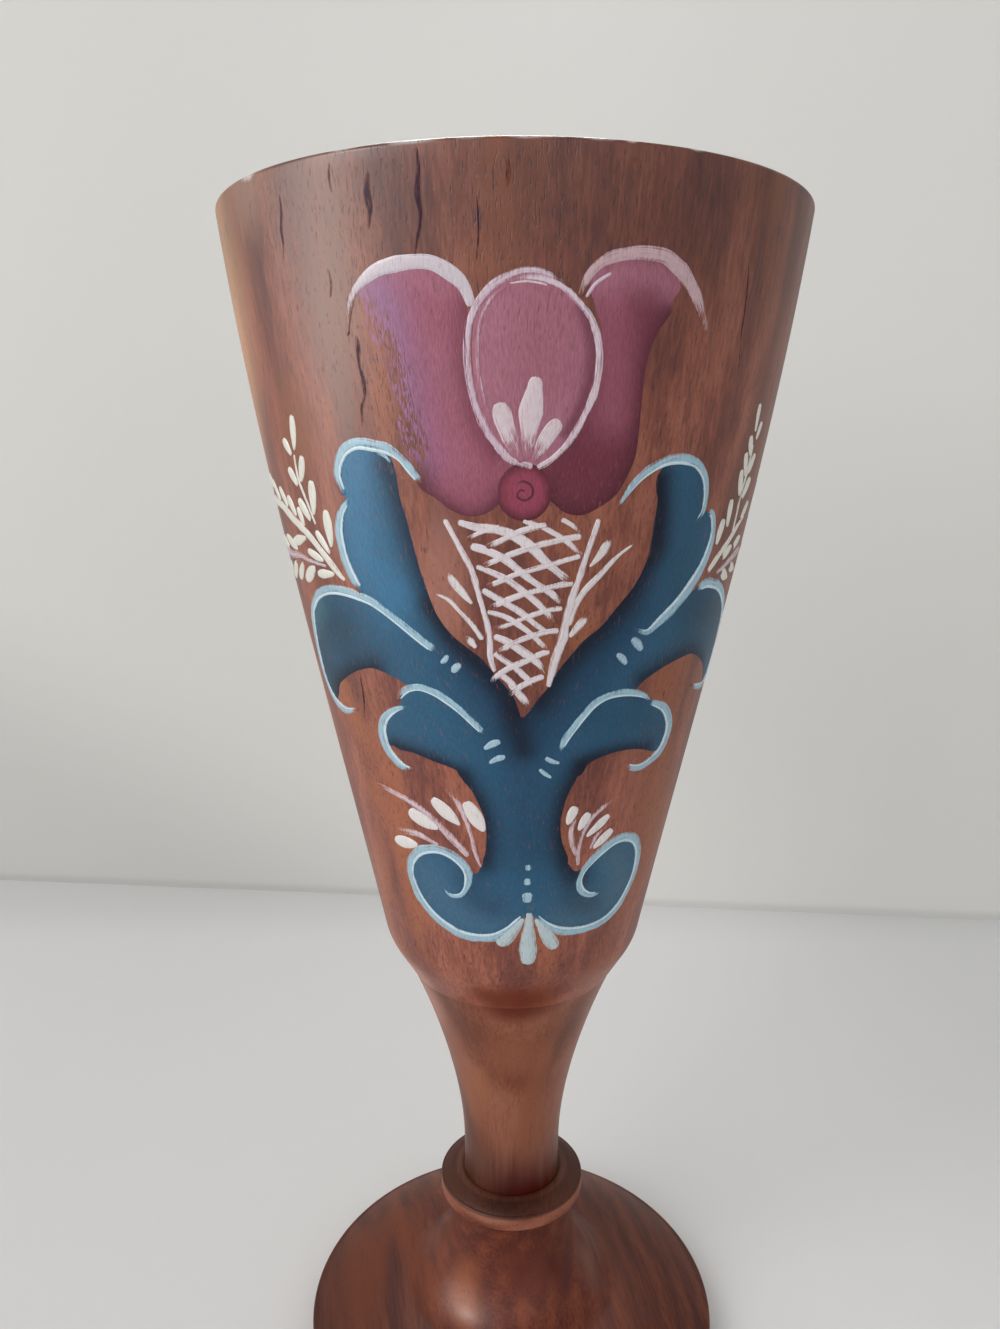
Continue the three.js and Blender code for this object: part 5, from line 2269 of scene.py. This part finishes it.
BOWL_WOOD = TurnedWood(
    "bowl_wood", Grain.LONG, (92, 48, 42), (126, 70, 55), (156, 94, 74), (146, 84, 56),
    # painted shade towards the rim, and painted light on the lower left
    painted_light_ramps=(PaintedLightRamp((0, 0, 1), 178, 196, 0.68), PaintedLightRamp((-0.6, 0, -0.8), -130, -70, 1.3)),
    zones=(
        # a lighter ochre patch at the far left: partly lighter wood, partly painted window light
        Zone((-42, -14, 190), (11, 17, 36), (208, 152, 112), 0.85, 0.2),
        # a warmer orange patch on the left: partly wood, partly painted window light
        Zone((-30, -26, 168), (6, 9, 12), (140, 82, 50), 0.6),
        # painted sheen: a greyish haze where the window is reflected on the left
        Zone((-23, -36, 184), (6, 7, 32), (136, 104, 92), 0.6),
        # darker down the right side
        Zone((36, -18, 170), (7, 14, 50), (112, 58, 42), 0.55),
        # painted light beside the lattice on the left
        Zone((-9, -35, 149), (5, 7, 15), (172, 118, 104), 0.55, 0.3),
        # painted light near the rim on the left
        Zone((-35, -28, 199), (6, 8, 9), (192, 146, 124), 0.55, 0.25),
        # painted shade on the shoulder's underside, where it faces down
        Zone((0.5, -19.5, 78), (12, 6, 5.6), (100, 38, 20), 0.9, 0.12),
        # painted reflections: pinkish light on both sides of the shoulder's underside
        Zone((-17, -11, 78), (6.5, 9, 5), (186, 134, 116), 0.6, 0.2),
        Zone((18, -10, 78), (6, 8, 5), (150, 102, 88), 0.6, 0.2),
        # painted highlight: pale line and specks where the rim's front edge catches the light, with a few
        # chips in the varnish
        Zone((-11.5, -43.5, 200.1), (5, 2.4, 0.75), (255, 252, 250), 1.0, 0.3),
        Zone((-5, -45, 200.1), (3, 2, 0.6), (250, 240, 236), 0.9, 0.3),
        Zone((2, -45, 200.1), (5, 2, 0.62), (246, 232, 226), 0.9, 0.35),
        Zone((9.5, -44, 200.1), (3.4, 2, 0.55), (246, 232, 226), 0.8, 0.35),
        Zone((-20, -40, 200.1), (3, 3, 0.6), (244, 230, 222), 0.8, 0.4),
        Zone((-34, -29, 199.8), (2.2, 3, 0.9), (250, 240, 232), 0.9, 0.3),
        Zone((13.5, -43, 200.1), (1, 2, 0.6), (250, 240, 236), 0.9, 0.2),
        Zone((21.5, -39.7, 200.1), (1.4, 2, 0.6), (250, 240, 236), 0.9, 0.2),
    ),
    band_strength=0.3, pore_strength=0.42, gloss=0.3, coat=0.1,
)
STEM_WOOD = TurnedWood(
    "stem_wood", Grain.LONG, (102, 54, 38), (131, 76, 55), (154, 96, 74), (140, 82, 57),
    # painted shade: darker at the foot, where the stem goes into the ring, and on its lower left
    painted_light_ramps=(PaintedLightRamp((0, 0, -1), -50, -34, 0.6), PaintedLightRamp((-1, 0, -0.6), -27, -19, 0.78)),
    zones=(
        # painted highlight on the left of the waist
        Zone((-6, -7, 56), (4, 6, 16), (160, 98, 66), 0.5),
        # painted shade where the stem meets the ring
        Zone((2, -9, 32), (14, 9, 12), (96, 18, 4), 1.0),
        # painted reflections: pinkish light on both sides just under the bowl
        Zone((-15, -7, 71), (6, 8, 11), (184, 134, 118), 0.6, 0.2),
        Zone((15, -8, 71), (5, 8, 11), (160, 114, 100), 0.6, 0.2),
        # painted shade at the top, under the bowl's shoulder
        Zone((0.5, -17, 76.6), (11, 7, 5.8), (98, 35, 16), 0.95, 0.12),
        # painted light that lifts the bowl's shadow off the middle of the stem
        Zone((0.5, -12, 65), (9, 6, 8), (158, 96, 72), 0.6, 0.2),
    ),
    pore_strength=0.12, vein_strength=0.2, gloss=0.22, shift=(3.0, 1.0, 0.0),
)
RING_WOOD = TurnedWood(
    "ring_wood", Grain.FACE, (104, 56, 43), (132, 76, 58), (156, 98, 78), (142, 84, 62),
    # painted shade on the ring's top under the bowl, and a painted highlight along its lip
    painted_light_ramps=(PaintedLightRamp((0, 0, 1), 31.7, 32.3, 0.3), PaintedLightRamp((0, 0, 1), 33.35, 33.48, 1.6)),
    # painted highlight on the ring's side at the front left
    zones=(Zone((-4, -13, 31.6), (7, 8, 1.4), (176, 118, 98), 0.6, 0.2),),
    pore_strength=0.2, gloss=0.12, coat=0.0, shift=(1.0, 5.0, 2.0),
)
FOOT_WOOD = TurnedWood(
    "foot_wood",
    Grain.FACE,
    (76, 31, 20),
    (106, 48, 30),
    (132, 68, 40),
    (130, 62, 31),
    # painted shade: darker to the left and to the right, and up the neck under the ring
    painted_light_ramps=(
        PaintedLightRamp((-1, 0, 0), 10, 36, 0.64),
        PaintedLightRamp((1, 0, 0), 6, 36, 0.7),
        PaintedLightRamp((0, 0, 1), 16, 26, 0.85),
    ),
    zones=(
        # painted light on the left of the cove
        Zone((-11, -10, 15), (4.5, 8, 10), (150, 78, 38), 0.7, 0.25),
        # painted reflection of the dark ring and stem in the cove
        Zone((2, -12, 20), (10, 5, 9), (98, 42, 27), 0.7, 0.2),
        Zone((7.5, -10.5, 18), (4.5, 5, 7), (84, 24, 14), 0.75, 0.25),
        # painted sheen on the right of the cove
        Zone((14.5, -8, 17), (4, 8, 9), (140, 92, 76), 0.5, 0.2),
        # a warmer patch near the front edge
        Zone((-6, -30, 9), (6, 8, 6), (150, 84, 46), 0.6),
    ),
    pith=(-0.07, 0.0, 0.01),
    band_spacing=2.2,
    band_strength=0.18,
    pore_strength=0.12,
    gloss=0.15,
    coat=0.16,
    grain_turn=-12,
    shift=(2.0, 2.0, 1.0),
)
PETAL_PAINT = BrushedPaint("petal_paint", BOWL_WOOD)
LEAF_PAINT = BrushedPaint("leaf_paint", BOWL_WOOD, unevenness=0.12, pore_show=0.3, gloss=0.2, coat=0.04)
WHITE_PAINT = BrushedPaint(
    "white_paint", BOWL_WOOD, hair=(7.0, 0.16), unevenness=0.08, pore_show=0.25, grain_catch=0.2
)
VEIN_STAIN = BrushedPaint(
    "vein_stain",
    BOWL_WOOD,
    hair=(1.4, 0.16),
    unevenness=0.05,
    pore_show=0.0,
    grain_catch=0.5,
    relief=0.02,
    gloss=0.12,
    coat=0.0,
)


def wear(piece: Piece, node: str | None, slot: str) -> None:
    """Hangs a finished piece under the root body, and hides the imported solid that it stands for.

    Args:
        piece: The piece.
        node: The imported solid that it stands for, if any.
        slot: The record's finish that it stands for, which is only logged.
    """
    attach(piece, "root")
    if node:
        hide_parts(node)
    triangles = sum(len(face.vertices) - 2 for face in piece.data.polygons)
    log.info("%s: %d triangles, %s", piece.name, triangles, slot)


def main() -> None:
    """Builds the vase and its ornament, piece by piece."""
    logging.basicConfig(level=logging.INFO, format="%(message)s")
    Studio().build()
    ring = StemRing(RING_WOOD, Span.of("stem_ring"))
    stem_radius, bowl_span = Span.of("stem").radius, Span.of("bowl")
    bowl = Bowl(BOWL_WOOD, bowl_span, stem_radius)
    stem = Stem(STEM_WOOD, ring.span.low + ring.ledge_height, bowl_span.low, stem_radius)
    wear(Foot(FOOT_WOOD, Span.of("foot")).build(), "foot", "foot_wood")
    wear(ring.build(), "stem_ring", "ring_wood")
    wear(stem.build(), "stem", "stem_wood")
    wear(bowl.build(), "bowl", "bowl_wood")
    easel = Easel(bowl.skin())
    motifs = (
        Veins(VEIN_STAIN),
        Leaves(LEAF_PAINT, WHITE_PAINT),
        Tulip(PETAL_PAINT, WHITE_PAINT),
        Lattice(WHITE_PAINT),
        Sprigs(WHITE_PAINT),
        Ferns(WHITE_PAINT),
        SideFlower("right_flower", PETAL_PAINT, WHITE_PAINT, (57.2, 152.8)),
        SideFlower("left_flower", PETAL_PAINT, WHITE_PAINT, (-60.5, 154.0)),
    )
    work = [piece for motif in motifs for piece in motif.build(easel)]
    for piece in work:
        wear(piece, None, "bowl_wood")


if __name__ == "__main__":
    main()
